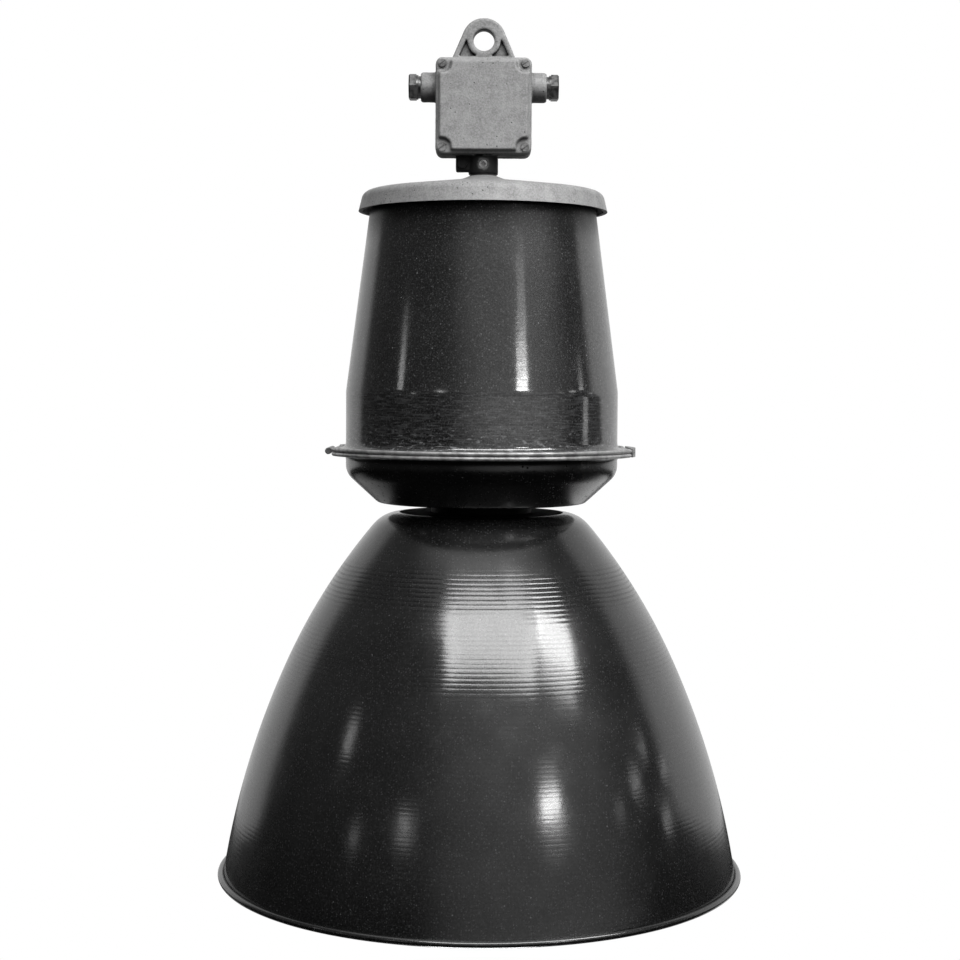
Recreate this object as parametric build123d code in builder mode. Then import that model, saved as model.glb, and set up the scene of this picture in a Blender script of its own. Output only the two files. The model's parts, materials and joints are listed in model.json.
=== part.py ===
from build123d import *
import os

# Industrial pendant lamp: cast junction box with a hanging eye, enamelled gear housing, hinged lamp section
# The origin is the centre of the hanging eye, +Z is up and the front of the box faces -Y

# General
SHEET = 1.2  # enamelled steel sheet
FIT = 0.05  # radial clearance of screws and tubes in their holes

# Screws: shank radius, head and nut sizes, and the slot of the slotted ones
M3_R = 1.5
M3_HEAD_R = 2.4
M3_HEAD = 1.6
M4_R = 2.0
M4_HEAD_R = 3.5
M4_HEAD = 2.6
M4_NUT = 3.2
M5_R = 2.5
M5_HEX_R = 4.0
M5_HEAD = 3.5
M5_NUT = 4.0
M6_R = 3.0
M6_HEX_R = 5.0
M6_HEAD = 4.0
SLOT_WIDTH = 1.0
SLOT_DEPTH = 1.2

# Hanging eye and junction box
EYE_R = 10.0
LUG_R = 19.5
LUG_THICK = 12.0
LUG_FOOT = 28.6  # half the width of the lug where it meets the box
LUG_RIB = 4.4
LUG_RING_R = 14.8
LUG_WEB = 4.0
POCKET_FOOT = 23.3  # half the width of the lug's pockets at their foot
POCKET_FLOOR = -14.5
BOX_SIDE = 86.0
BOX_Z = -60.0
BOX_FRONT = -10.0
BOX_BACK = 20.0
BOX_CORNER = 6.0
BOX_WALL = 4.0
BOX_TOP = BOX_Z + BOX_SIDE / 2
BOX_BOTTOM = BOX_Z - BOX_SIDE / 2
BOX_INSIDE = BOX_SIDE - 2 * BOX_WALL
BOX_INNER_BACK = BOX_BACK - BOX_WALL
COVER_SCREW_SPAN = 75.0
COVER_BOSS_R = 6.5
COVER_SCREW_HOLE = 16.0
COVER_SCREW_GRIP = 14.0

# Junction box cover
GASKET_THICK = 1.5
COVER_BACK = BOX_FRONT - GASKET_THICK
COVER_PLATE = 4.5
COVER_PAD = COVER_BACK - COVER_PLATE
PLATEAU_SIDE = 81.0
PLATEAU_HEIGHT = 4.5
PLATEAU_NOTCH_R = 8.0
PLATEAU_TAPER = 14.0
PLATEAU_EDGE_R = 2.0
COVER_EDGE_R = 1.2
COVER_RECESS = 5.0
COVER_RECESS_SIDE = 74.0
GASKET_SIDE = 85.0
GASKET_EYE_R = 5.3
SLOT_TURN = 35.0

# Terminals in the box
BLOCK_Z = -74.0
BLOCK_WIDTH = 46.0
BLOCK_HEIGHT = 18.0
BLOCK_DEPTH = 13.0
BLOCK_R = 2.0
BLOCK_FRONT = BOX_INNER_BACK - BLOCK_DEPTH
POLE_PITCH = 12.0
POLE_ROW = 10.0
POLE_R = 2.7
POLE_DEPTH = 5.0
WIRE_WAY_R = 2.0
WIRE_WAY_DEPTH = 6.5
TERMINAL_SCREW_R = 2.6
TERMINAL_SCREW = 3.5
TERMINAL_SCREW_SUNK = 0.5
FIXING_X = 20.0
EARTH_X = 24.0
EARTH_Z = -56.0
EARTH_WASHER = 10.0
EARTH_WASHER_THICK = 1.2
EARTH_HEAD_R = 4.2
EARTH_HEAD = 3.4

# Cable glands
GLAND_Y = 4.0
GLAND_Z = -41.0
STUB_R = 13.0
STUB_END = 57.0
STUB_CHAMFER = 1.5
THREAD_R = 10.0
SEAT_WAY_R = 8.0
SEAT_X = 46.0  # shoulder that the rubber seal presses on
SEAL_END = 50.5
GLAND_WASHER_END = 52.0
NECK_END = 59.4
GLAND_COLLAR_END = 61.0
GLAND_END = 68.0
GLAND_HEX = 22.0
GLAND_CHAMFER = 1.2
SUPPLY_CABLE_R = 6.5  # the left gland takes the supply cable
LOOP_CABLE_R = 5.5  # the right gland takes a thinner one that loops on
CABLE_WAY_PLAY = 0.6
SEAL_PLAY = 0.1
WASHER_PLAY = 0.3

# Neck and stem
SLEEVE_R = 13.0
SLEEVE_BOTTOM = -120.0
STEM_R = 8.5
STEM_BORE_R = 6.2
STEM_TOP = -96.0
STEM_BOTTOM = -147.0
EAR_END = -24.5
EAR_WIDTH = 12.0
EAR_BOTTOM = -117.0
CLAMP_SLOT = 2.0
SAW_CUT = 1.6
CLAMP_X = -19.0
CLAMP_Z = -110.8
CLAMP_TAIL = 5.5
SET_SCREW_Z = -111.5
SET_SCREW_R = 3.6
SET_SOCKET = 4.0
SET_SOCKET_DEPTH = 2.5
STEM_SEAL = 1.5
STEM_SEAL_INSET = 0.6
STEM_WASHER = 2.0
STEM_WASHER_R = 18.0
STEM_NUT = 8.0
STEM_NUT_HEX_R = 12.0

# Housing lid
HUB_TOP = SLEEVE_BOTTOM - STEM_SEAL
HUB_R = 12.8
DOME_START = (28.6, -126.2)
LID_SHOULDER = (108.9, -137.2)
LID_R = 113.0
LID_BOTTOM = -154.0
LID_WALL = 3.6
LID_EDGE_R = 8.0
LID_INNER_EDGE_R = 5.0
LID_BOSS_R = 22.0
LID_BOSS_BOTTOM = -131.5
LID_BOSS_SLOPE = 6.0
PILLAR_CIRCLE_R = 88.0
PILLAR_R = 6.5
PILLAR_TOP = -137.0
PILLAR_THREAD = 8.0
LID_BOLT_REACH = 7.0

# Gear housing
HOUSING_TOP = -148.0
HOUSING_TOP_R = 101.9
HOUSING_MOUTH_R = 78.0
HOUSING_EDGE_R = 3.0
HOUSING_BEND_R = 40.0
BEND_Z = -317.0
HOUSING_R = 124.0
FLANGE_R = 140.5
FLANGE_Z = -371.0
FLANGE_GAP = 2.8
FLANGE_BEND_R = 5.0
HEM_R = 1.85  # rolled outer edge of each flange
HEM_END = 43.0  # half the gap in the rolled edges at the hinge and at the closing bars
UPPER_FLANGE_TOP = FLANGE_Z + FLANGE_GAP / 2 + SHEET
LOWER_FLANGE_BOTTOM = FLANGE_Z - FLANGE_GAP / 2 - SHEET
CHORD_X = 134.0  # both flanges are cut straight here for the hinge and the closing bars
CHORD_HALF = 42.0
GASKET_INSET = 4.5
GASKET_LAND = 3.0
GASKET_MARGIN = 4.0

# Hinge and closing bars
HINGE_X = -138.5
KNUCKLE_R = 3.0
PIN_R = 1.5
PIN_HEAD_R = 2.2
PIN_HEAD = 1.2
LEAF_THICK = 1.2
LEAF_INNER = 127.0
LEAF_OUTER = 134.5
LEAF_HALF = 24.0
MID_KNUCKLE_HALF = 8.0
KNUCKLE_PLAY = 0.4
RIVET_X = 130.6
RIVET_R = 1.6
HINGE_RIVET_SPAN = 17.0
BAR_RIVET_SPAN = 28.0
BAR_HALF = 36.0
BAR_GAP = 0.3
BAR_PLAY = 0.2
TONGUE_LAP = 1.0
CLOSING_X = 131.5
CLOSING_HEAD_R = 3.8
CLOSING_PLAY = 0.4  # the closing screw leaves the upper bar on a wide arc

# Lower pan, collar and shade
PAN_KNEE_Z = -391.2
PAN_FLOOR_R = 94.8
PAN_BOTTOM = -418.0
PAN_HOLE_R = 37.0
PAN_KNEE_R = 17.0
PAN_FLOOR_BEND_R = 4.0
COLLAR_R = 46.0
SHADE_TOP = -427.0
SHADE_HOLE_R = 36.5
SHADE_FLAT_R = 75.0
SHADE_SHOULDER = (98.8, -438.4)
SHADE_MIDDLE = (176.0, -560.6)
SHADE_RIM = (234.8, -756.0)
UPPER_BELL_R = 552.0
LOWER_BELL_R = 742.0
BEAD_R = 3.0
SHADE_R = 240.0
COLLAR_BOLT_CIRCLE_R = 41.2
COLLAR_BOLT_TAIL = 6.0

# Lampholder and lamp
HOLDER_TOP = -388.0
HOLDER_SHOULDER = -401.0
HOLDER_MOUTH = -456.0
HOLDER_TOP_R = 26.0
HOLDER_R = 31.5
HOLDER_FLOOR = -398.0
HOLDER_SLOPE = 5.0
HOLDER_TAPER = 1.5
MOUTH_FLARE = 2.0
MOUTH_LEAD = 3.0
HOLDER_SCREW_HOLE = 7.0
SHELL_R = 21.4
SHELL_BORE_R = 20.6
SHELL_BOTTOM = -450.0
SHELL_DROP = 2.0
BRACKET_THICK = 2.0
BRACKET_X = 34.0
BRACKET_FOOT = 50.0
BRACKET_WIDTH = 36.0
BRACKET_BEND_R = 1.5
BRACKET_WIRE_R = 5.0
HOLDER_SCREW_X = 15.0
HOLDER_SCREW = 8.0
CONTACT_R = 5.5
CONTACT_STEM_R = 2.0
CONTACT_PLAY = 0.08
CONTACT_THICK = 2.0
CONTACT_REST = 0.3  # gap between the centre contact and the tip of the lamp
CONTACT_SUNK = 3.0
LAMP_TIP = -403.3
TIP_HEIGHT = 2.0
TIP_EDGE_R = 1.2
CAP_R = 19.7
CAP_LIP = 5.0
CAP_WALL = 1.0
CAP_EDGE_R = 3.0
CAP_HEM_R = 0.5
CAP_TOP = -411.0
CAP_BOTTOM = -441.0
GLASS_NECK_R = 18.4
GLASS_NECK = 11.0
BELLY_TOP = -572.0
GLASS_R = 45.0
GLASS_WALL = 1.0
GLASS_BOTTOM = -628.0

# Control gear
TRAY_THICK = 2.0
TRAY_STRIP_HALF = 94.0
TRAY_STRIP_WIDTH = 44.0
TRAY_HALF = 62.0
TRAY_BOTTOM = -325.0
TRAY_LIP = 12.0
TRAY_CORNER_R = 8.0
TRAY_WIRE_R = 6.0
CORE_HALF = 33.0
CORE_DEPTH = 54.0
CORE_TOP = -190.0
CORE_BOTTOM = -270.0
BASE_LAP = 10.0
BASE_THICK = 2.0
BASE_SCREW_INSET = 7.0
COIL_INNER = 11.0
COIL_OUTER = 22.0
COIL_FRONT = -44.0
COIL_BACK = -16.0
COIL_PROUD = 16.0
COIL_END = 12.0
COIL_BEND_R = 10.0
COIL_INNER_BEND_R = 2.0
COIL_PLAY = 0.2
CAPACITOR_R = 20.0
CAPACITOR_TOP = -205.0
CAPACITOR_BOTTOM = -305.0
CAPACITOR_EDGE_R = 2.0
TAG_X = 7.0
TAG_THICK = 1.0
TAG_WIDTH = 6.3
TAG_HEIGHT = 9.0
CLAMP_BAND = 1.2
CLAMP_TOP = -284.0
CLAMP_BOTTOM = -298.0
CLAMP_SCREW_X = 27.0
CLAMP_TAB = 6.0
GEAR_BLOCK_X = 40.0
GEAR_BLOCK_Z = -215.0
GEAR_BLOCK_WIDTH = 30.0
GEAR_BLOCK_HEIGHT = 14.0
GEAR_BLOCK_DEPTH = 12.0
GEAR_BLOCK_R = 1.5
GEAR_POLE_PITCH = 10.0
GEAR_POLE_ROW = 7.0
GEAR_POLE_R = 1.8
GEAR_POLE_DEPTH = 6.0

os.makedirs("parts", exist_ok=True)


def save(piece, name):
    piece.part.label = name
    export_step(piece.part, f"parts/{name}.step")


def turned_ring(outer_r, inner_r, z_low, z_high):
    with BuildPart() as ring:
        with BuildSketch(Plane.XY.offset(z_low)):
            Circle(outer_r)
            Circle(inner_r, mode=Mode.SUBTRACT)
        extrude(amount=z_high - z_low)
    return ring


def side_plane(side, x):
    return Plane(origin=(side * x, GLAND_Y, GLAND_Z), x_dir=(0, 1, 0), z_dir=(side, 0, 0))


def turned_along_x(side, outer_r, inner_r, x_near, x_far):
    with BuildPart() as ring:
        with BuildSketch(side_plane(side, x_near)):
            Circle(outer_r)
            Circle(inner_r, mode=Mode.SUBTRACT)
        extrude(amount=x_far - x_near)
    return ring


# Junction box: one casting with the hanging lug, two gland stubs and the clamp sleeve
with BuildPart() as junction_box:
    with BuildSketch(Plane.XZ.offset(-BOX_BACK)):
        with Locations((0, BOX_Z)):
            RectangleRounded(BOX_SIDE, BOX_SIDE, BOX_CORNER)
    extrude(amount=BOX_BACK - BOX_FRONT)
    fillet(junction_box.faces().sort_by(Axis.Y)[-1].edges(), radius=BOX_WALL)
    with BuildSketch(Plane.XZ):
        Circle(LUG_R)
        with Locations((0, BOX_TOP - LUG_WEB / 2)):
            Rectangle(2 * LUG_FOOT, LUG_WEB)
        make_hull()
    extrude(amount=LUG_THICK / 2, both=True)
    for face in (-1, 1):
        with BuildSketch(Plane.XZ.offset(face * LUG_THICK / 2)):
            Circle(LUG_R - LUG_RIB)
            with Locations((0, BOX_TOP)):
                Rectangle(2 * POCKET_FOOT, LUG_WEB)
            make_hull()
            Circle(LUG_RING_R, mode=Mode.SUBTRACT)
            with Locations((0, POCKET_FLOOR)):
                Rectangle(2 * LUG_FOOT, LUG_R, align=(Align.CENTER, Align.MAX), mode=Mode.SUBTRACT)
        extrude(amount=-face * (LUG_THICK - LUG_WEB) / 2, mode=Mode.SUBTRACT)
    with BuildSketch(Plane.XZ):
        Circle(EYE_R)
    extrude(amount=LUG_THICK, both=True, mode=Mode.SUBTRACT)
    for side in (-1, 1):
        with BuildSketch(side_plane(side, BOX_SIDE / 2 - BOX_WALL / 2)):
            Circle(STUB_R)
        extrude(amount=STUB_END - BOX_SIDE / 2 + BOX_WALL / 2)
        chamfer(junction_box.faces().sort_by(Axis.X)[-1 if side > 0 else 0].edges(), length=STUB_CHAMFER)
    with BuildSketch(Plane.XY.offset(SLEEVE_BOTTOM)):
        Circle(SLEEVE_R)
    extrude(amount=BOX_BOTTOM - SLEEVE_BOTTOM)
    with BuildSketch(Plane.XY.offset(EAR_BOTTOM)):
        with Locations((EAR_END, 0)):
            Rectangle(-EAR_END - STEM_R, EAR_WIDTH, align=(Align.MIN, Align.CENTER))
    extrude(amount=BOX_BOTTOM - EAR_BOTTOM)
    with BuildSketch(Plane.XY.offset(BOX_BOTTOM - SAW_CUT)):
        with Locations((EAR_END, 0)):
            Rectangle(-EAR_END, 2 * SLEEVE_R, align=(Align.MIN, Align.CENTER))
    extrude(amount=SAW_CUT, mode=Mode.SUBTRACT)
    with BuildSketch(Plane.XY.offset(SLEEVE_BOTTOM)):
        with Locations((EAR_END, 0)):
            Rectangle(-EAR_END, CLAMP_SLOT, align=(Align.MIN, Align.CENTER))
    extrude(amount=BOX_BOTTOM - SLEEVE_BOTTOM - SAW_CUT, mode=Mode.SUBTRACT)
    with BuildSketch(Plane.XZ.offset(-BOX_INNER_BACK)):
        with Locations((0, BOX_Z)):
            RectangleRounded(BOX_INSIDE, BOX_INSIDE, BOX_WALL)
            with GridLocations(COVER_SCREW_SPAN, COVER_SCREW_SPAN, 2, 2):
                Circle(COVER_BOSS_R, mode=Mode.SUBTRACT)
    extrude(amount=BOX_INNER_BACK - BOX_FRONT, mode=Mode.SUBTRACT)
    with BuildSketch(Plane.XZ.offset(-BOX_FRONT)):
        with Locations((0, BOX_Z)):
            with GridLocations(COVER_SCREW_SPAN, COVER_SCREW_SPAN, 2, 2):
                Circle(M4_R + FIT)
    extrude(amount=-COVER_SCREW_HOLE, mode=Mode.SUBTRACT)
    for side in (-1, 1):
        with BuildSketch(side_plane(side, SEAT_X)):
            Circle(THREAD_R + FIT)
        extrude(amount=STUB_END - SEAT_X, mode=Mode.SUBTRACT)
        with BuildSketch(side_plane(side, BOX_SIDE / 2 - BOX_WALL)):
            Circle(SEAT_WAY_R)
        extrude(amount=SEAT_X - BOX_SIDE / 2 + BOX_WALL, mode=Mode.SUBTRACT)
    with BuildSketch(Plane.XY.offset(SLEEVE_BOTTOM)):
        Circle(STEM_R + FIT)
    extrude(amount=BOX_BOTTOM + BOX_WALL - SLEEVE_BOTTOM, mode=Mode.SUBTRACT)
    with BuildSketch(Plane.XZ):
        with Locations((CLAMP_X, CLAMP_Z)):
            Circle(M5_R + FIT)
    extrude(amount=EAR_WIDTH, both=True, mode=Mode.SUBTRACT)
    with BuildSketch(Plane.XZ):
        with Locations((0, SET_SCREW_Z)):
            Circle(SET_SCREW_R + FIT)
    extrude(amount=SLEEVE_R, mode=Mode.SUBTRACT)
save(junction_box, "junction_box")

# Cover: cast plate with a raised field, notched round the four screws and hollow behind
with BuildPart() as junction_box_cover:
    with BuildSketch(Plane.XZ.offset(-COVER_BACK)):
        with Locations((0, BOX_Z)):
            RectangleRounded(BOX_SIDE, BOX_SIDE, BOX_CORNER)
    extrude(amount=COVER_PLATE)
    fillet(junction_box_cover.faces().sort_by(Axis.Y)[0].edges(), radius=COVER_EDGE_R)
    with BuildSketch(Plane.XZ.offset(-COVER_PAD)):
        with Locations((0, BOX_Z)):
            RectangleRounded(PLATEAU_SIDE, PLATEAU_SIDE, BOX_CORNER)
            with GridLocations(COVER_SCREW_SPAN, COVER_SCREW_SPAN, 2, 2):
                Circle(PLATEAU_NOTCH_R, mode=Mode.SUBTRACT)
    extrude(amount=PLATEAU_HEIGHT, taper=PLATEAU_TAPER)
    fillet(junction_box_cover.faces().sort_by(Axis.Y)[0].edges(), radius=PLATEAU_EDGE_R)
    with BuildSketch(Plane.XZ.offset(-COVER_BACK)):
        with Locations((0, BOX_Z)):
            RectangleRounded(COVER_RECESS_SIDE, COVER_RECESS_SIDE, BOX_WALL)
            with GridLocations(COVER_SCREW_SPAN, COVER_SCREW_SPAN, 2, 2):
                Circle(PLATEAU_NOTCH_R, mode=Mode.SUBTRACT)
    extrude(amount=COVER_RECESS, mode=Mode.SUBTRACT)
    with BuildSketch(Plane.XZ.offset(-COVER_BACK)):
        with Locations((0, BOX_Z)):
            with GridLocations(COVER_SCREW_SPAN, COVER_SCREW_SPAN, 2, 2):
                Circle(M4_R + FIT)
    extrude(amount=COVER_PLATE + PLATEAU_HEIGHT, mode=Mode.SUBTRACT)
save(junction_box_cover, "junction_box_cover")

# Cover gasket: rubber frame with the screw holes in its corners
with BuildPart() as cover_gasket:
    with BuildSketch(Plane.XZ.offset(-BOX_FRONT)):
        with Locations((0, BOX_Z)):
            RectangleRounded(GASKET_SIDE, GASKET_SIDE, BOX_CORNER)
            RectangleRounded(BOX_INSIDE, BOX_INSIDE, BOX_WALL, mode=Mode.SUBTRACT)
            with GridLocations(COVER_SCREW_SPAN, COVER_SCREW_SPAN, 2, 2):
                Circle(GASKET_EYE_R)
                Circle(M4_R + FIT, mode=Mode.SUBTRACT)
    extrude(amount=GASKET_THICK)
save(cover_gasket, "cover_gasket")

# Cover screws: four slotted cheese heads
with BuildPart() as cover_screws:
    with BuildSketch(Plane.XZ.offset(-COVER_PAD)):
        with Locations((0, BOX_Z)):
            with GridLocations(COVER_SCREW_SPAN, COVER_SCREW_SPAN, 2, 2):
                Circle(M4_HEAD_R)
    extrude(amount=M4_HEAD)
    with BuildSketch(Plane.XZ.offset(-COVER_PAD + M4_HEAD)):
        with Locations((0, BOX_Z)):
            with GridLocations(COVER_SCREW_SPAN, COVER_SCREW_SPAN, 2, 2):
                Rectangle(3 * M4_HEAD_R, SLOT_WIDTH, rotation=SLOT_TURN)
    extrude(amount=-SLOT_DEPTH, mode=Mode.SUBTRACT)
    with BuildSketch(Plane.XZ.offset(-COVER_PAD)):
        with Locations((0, BOX_Z)):
            with GridLocations(COVER_SCREW_SPAN, COVER_SCREW_SPAN, 2, 2):
                Circle(M4_R)
    extrude(amount=-(COVER_PLATE + GASKET_THICK + COVER_SCREW_GRIP))
save(cover_screws, "cover_screws")

# Terminal block on the back wall: porcelain body with three wire ways and barrier ribs
with BuildPart() as terminal_block:
    with BuildSketch(Plane.XZ.offset(-BOX_INNER_BACK)):
        with Locations((0, BLOCK_Z)):
            RectangleRounded(BLOCK_WIDTH, BLOCK_HEIGHT, BLOCK_R)
    extrude(amount=BLOCK_DEPTH)
    with BuildSketch(Plane.XZ.offset(-BLOCK_FRONT)):
        with Locations((0, BLOCK_Z)):
            with GridLocations(POLE_PITCH, POLE_ROW, 3, 2):
                Circle(POLE_R)
    extrude(amount=-POLE_DEPTH, mode=Mode.SUBTRACT)
    with BuildSketch(Plane.XY.offset(BLOCK_Z - BLOCK_HEIGHT / 2)):
        with Locations((0, BLOCK_FRONT + WIRE_WAY_DEPTH)):
            with GridLocations(POLE_PITCH, 1, 3, 1):
                Circle(WIRE_WAY_R)
    extrude(amount=BLOCK_HEIGHT, mode=Mode.SUBTRACT)
    with BuildSketch(Plane.XZ.offset(-BLOCK_FRONT)):
        with Locations((-FIXING_X, BLOCK_Z), (FIXING_X, BLOCK_Z)):
            Circle(M3_R + FIT)
    extrude(amount=-BLOCK_DEPTH, mode=Mode.SUBTRACT)
save(terminal_block, "terminal_block")

# Terminal screws: six slotted screws sunk in the block
with BuildPart() as terminal_screws:
    with BuildSketch(Plane.XZ.offset(-BLOCK_FRONT - TERMINAL_SCREW_SUNK)):
        with Locations((0, BLOCK_Z)):
            with GridLocations(POLE_PITCH, POLE_ROW, 3, 2):
                Circle(TERMINAL_SCREW_R)
    extrude(amount=-TERMINAL_SCREW)
    with BuildSketch(Plane.XZ.offset(-BLOCK_FRONT - TERMINAL_SCREW_SUNK)):
        with Locations((0, BLOCK_Z)):
            with GridLocations(POLE_PITCH, POLE_ROW, 3, 2):
                Rectangle(3 * TERMINAL_SCREW_R, SLOT_WIDTH)
    extrude(amount=-SLOT_DEPTH, mode=Mode.SUBTRACT)
save(terminal_screws, "terminal_screws")

# Two screws that hold the terminal block to the back wall
with BuildPart() as terminal_fixings:
    with BuildSketch(Plane.XZ.offset(-BLOCK_FRONT)):
        with Locations((-FIXING_X, BLOCK_Z), (FIXING_X, BLOCK_Z)):
            Circle(M3_HEAD_R)
    extrude(amount=M3_HEAD)
    with BuildSketch(Plane.XZ.offset(-BLOCK_FRONT)):
        with Locations((-FIXING_X, BLOCK_Z), (FIXING_X, BLOCK_Z)):
            Circle(M3_R)
    extrude(amount=-BLOCK_DEPTH)
save(terminal_fixings, "terminal_fixings")

# Earth screw with its square washer, on the back wall
with BuildPart() as earth_screw:
    with BuildSketch(Plane.XZ.offset(-BOX_INNER_BACK)):
        with Locations((EARTH_X, EARTH_Z)):
            Rectangle(EARTH_WASHER, EARTH_WASHER)
    extrude(amount=EARTH_WASHER_THICK)
    with BuildSketch(Plane.XZ.offset(-BOX_INNER_BACK + EARTH_WASHER_THICK)):
        with Locations((EARTH_X, EARTH_Z)):
            Circle(EARTH_HEAD_R)
    extrude(amount=EARTH_HEAD)
    with BuildSketch(Plane.XZ.offset(-BOX_INNER_BACK + EARTH_WASHER_THICK + EARTH_HEAD)):
        with Locations((EARTH_X, EARTH_Z)):
            Rectangle(3 * EARTH_HEAD_R, SLOT_WIDTH)
    extrude(amount=-SLOT_DEPTH, mode=Mode.SUBTRACT)
save(earth_screw, "earth_screw")

# Glands: rubber seal, washer and hollow compression screw on each side
for side, word, cable_r in ((-1, "left", SUPPLY_CABLE_R), (1, "right", LOOP_CABLE_R)):
    seal_r = THREAD_R - SEAL_PLAY
    way_r = cable_r + CABLE_WAY_PLAY
    gland_seal = turned_along_x(side, seal_r, way_r, SEAT_X, SEAL_END)
    save(gland_seal, f"gland_seal_{word}")
    gland_washer = turned_along_x(side, seal_r, way_r, SEAL_END + WASHER_PLAY, GLAND_WASHER_END)
    save(gland_washer, f"gland_washer_{word}")
    with BuildPart() as gland_screw:
        with BuildSketch(side_plane(side, GLAND_WASHER_END + SEAL_PLAY)):
            Circle(THREAD_R)
        extrude(amount=NECK_END - GLAND_WASHER_END)
        with BuildSketch(side_plane(side, NECK_END)):
            Circle(GLAND_HEX / 2)
        extrude(amount=GLAND_COLLAR_END - NECK_END)
        with BuildSketch(side_plane(side, GLAND_COLLAR_END)):
            RegularPolygon(GLAND_HEX / 2, 6, major_radius=False)
        extrude(amount=GLAND_END - GLAND_COLLAR_END)
        chamfer(gland_screw.faces().sort_by(Axis.X)[-1 if side > 0 else 0].edges(), length=GLAND_CHAMFER)
        with BuildSketch(side_plane(side, GLAND_WASHER_END)):
            Circle(cable_r)
        extrude(amount=GLAND_END - GLAND_WASHER_END, mode=Mode.SUBTRACT)
    save(gland_screw, f"gland_screw_{word}")

# Clamp bolt across the ears of the sleeve, with its nut
with BuildPart() as neck_clamp_bolt:
    with BuildSketch(Plane.XZ.offset(EAR_WIDTH / 2)):
        with Locations((CLAMP_X, CLAMP_Z)):
            RegularPolygon(M5_HEX_R, 6, major_radius=False)
    extrude(amount=M5_HEAD)
    with BuildSketch(Plane.XZ.offset(EAR_WIDTH / 2)):
        with Locations((CLAMP_X, CLAMP_Z)):
            Circle(M5_R)
    extrude(amount=-(EAR_WIDTH + CLAMP_TAIL))
save(neck_clamp_bolt, "neck_clamp_bolt")

with BuildPart() as neck_clamp_nut:
    with BuildSketch(Plane.XZ.offset(-EAR_WIDTH / 2)):
        with Locations((CLAMP_X, CLAMP_Z)):
            RegularPolygon(M5_HEX_R, 6, major_radius=False)
            Circle(M5_R + FIT, mode=Mode.SUBTRACT)
    extrude(amount=-M5_NUT)
save(neck_clamp_nut, "neck_clamp_nut")

# Set screw with a square socket, in the front of the sleeve
with BuildPart() as neck_set_screw:
    with BuildSketch(Plane.XZ.offset(STEM_R + FIT)):
        with Locations((0, SET_SCREW_Z)):
            Circle(SET_SCREW_R)
    extrude(amount=SLEEVE_R - STEM_R)
    with BuildSketch(Plane.XZ.offset(SLEEVE_R + FIT)):
        with Locations((0, SET_SCREW_Z)):
            Rectangle(SET_SOCKET, SET_SOCKET, rotation=45)
    extrude(amount=-SET_SOCKET_DEPTH, mode=Mode.SUBTRACT)
save(neck_set_screw, "neck_set_screw")

# Stem: threaded pipe from the box through the lid, with its seal, washer and nut
stem_tube = turned_ring(STEM_R, STEM_BORE_R, STEM_BOTTOM, STEM_TOP)
save(stem_tube, "stem_tube")
stem_seal = turned_ring(HUB_R - STEM_SEAL_INSET, STEM_R + FIT, HUB_TOP, SLEEVE_BOTTOM)
save(stem_seal, "stem_seal")
stem_washer_under = LID_BOSS_BOTTOM - STEM_WASHER
stem_washer = turned_ring(STEM_WASHER_R, STEM_R + FIT, stem_washer_under, LID_BOSS_BOTTOM)
save(stem_washer, "stem_washer")
with BuildPart() as stem_nut:
    with BuildSketch(Plane.XY.offset(stem_washer_under)):
        RegularPolygon(STEM_NUT_HEX_R, 6, major_radius=False)
        Circle(STEM_R + FIT, mode=Mode.SUBTRACT)
    extrude(amount=-STEM_NUT)
save(stem_nut, "stem_nut")

# Lid: cast cap with a flared hub and four pillars that keep an air gap above the housing
with BuildPart() as housing_lid:
    inner_shoulder = (LID_SHOULDER[0] - LID_WALL, LID_SHOULDER[1] - LID_WALL)
    inner_dome = (LID_BOSS_R + LID_BOSS_SLOPE, DOME_START[1] - LID_WALL)
    with BuildSketch(Plane.XZ):
        with BuildLine():
            Line((STEM_R + FIT, HUB_TOP), (HUB_R, HUB_TOP))
            dome = FilletPolyline(DOME_START, LID_SHOULDER, (LID_R, LID_BOTTOM), radius=LID_EDGE_R)
            TangentArc(DOME_START, (HUB_R, HUB_TOP), tangent=-(dome % 0))
            Line((LID_R, LID_BOTTOM), (LID_R - LID_WALL, LID_BOTTOM))
            inner_edge = (LID_R - LID_WALL, LID_BOTTOM)
            FilletPolyline(inner_edge, inner_shoulder, inner_dome, radius=LID_INNER_EDGE_R)
            Polyline(
                inner_dome,
                (LID_BOSS_R, LID_BOSS_BOTTOM),
                (STEM_R + FIT, LID_BOSS_BOTTOM),
                (STEM_R + FIT, HUB_TOP),
            )
        make_face()
    revolve(axis=Axis.Z)
    with BuildSketch(Plane.XY.offset(HOUSING_TOP)):
        with PolarLocations(PILLAR_CIRCLE_R, 4):
            Circle(PILLAR_R)
    extrude(amount=PILLAR_TOP - HOUSING_TOP)
    with BuildSketch(Plane.XY.offset(HOUSING_TOP)):
        with PolarLocations(PILLAR_CIRCLE_R, 4):
            Circle(M6_R + FIT)
    extrude(amount=PILLAR_THREAD, mode=Mode.SUBTRACT)
save(housing_lid, "housing_lid")

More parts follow.
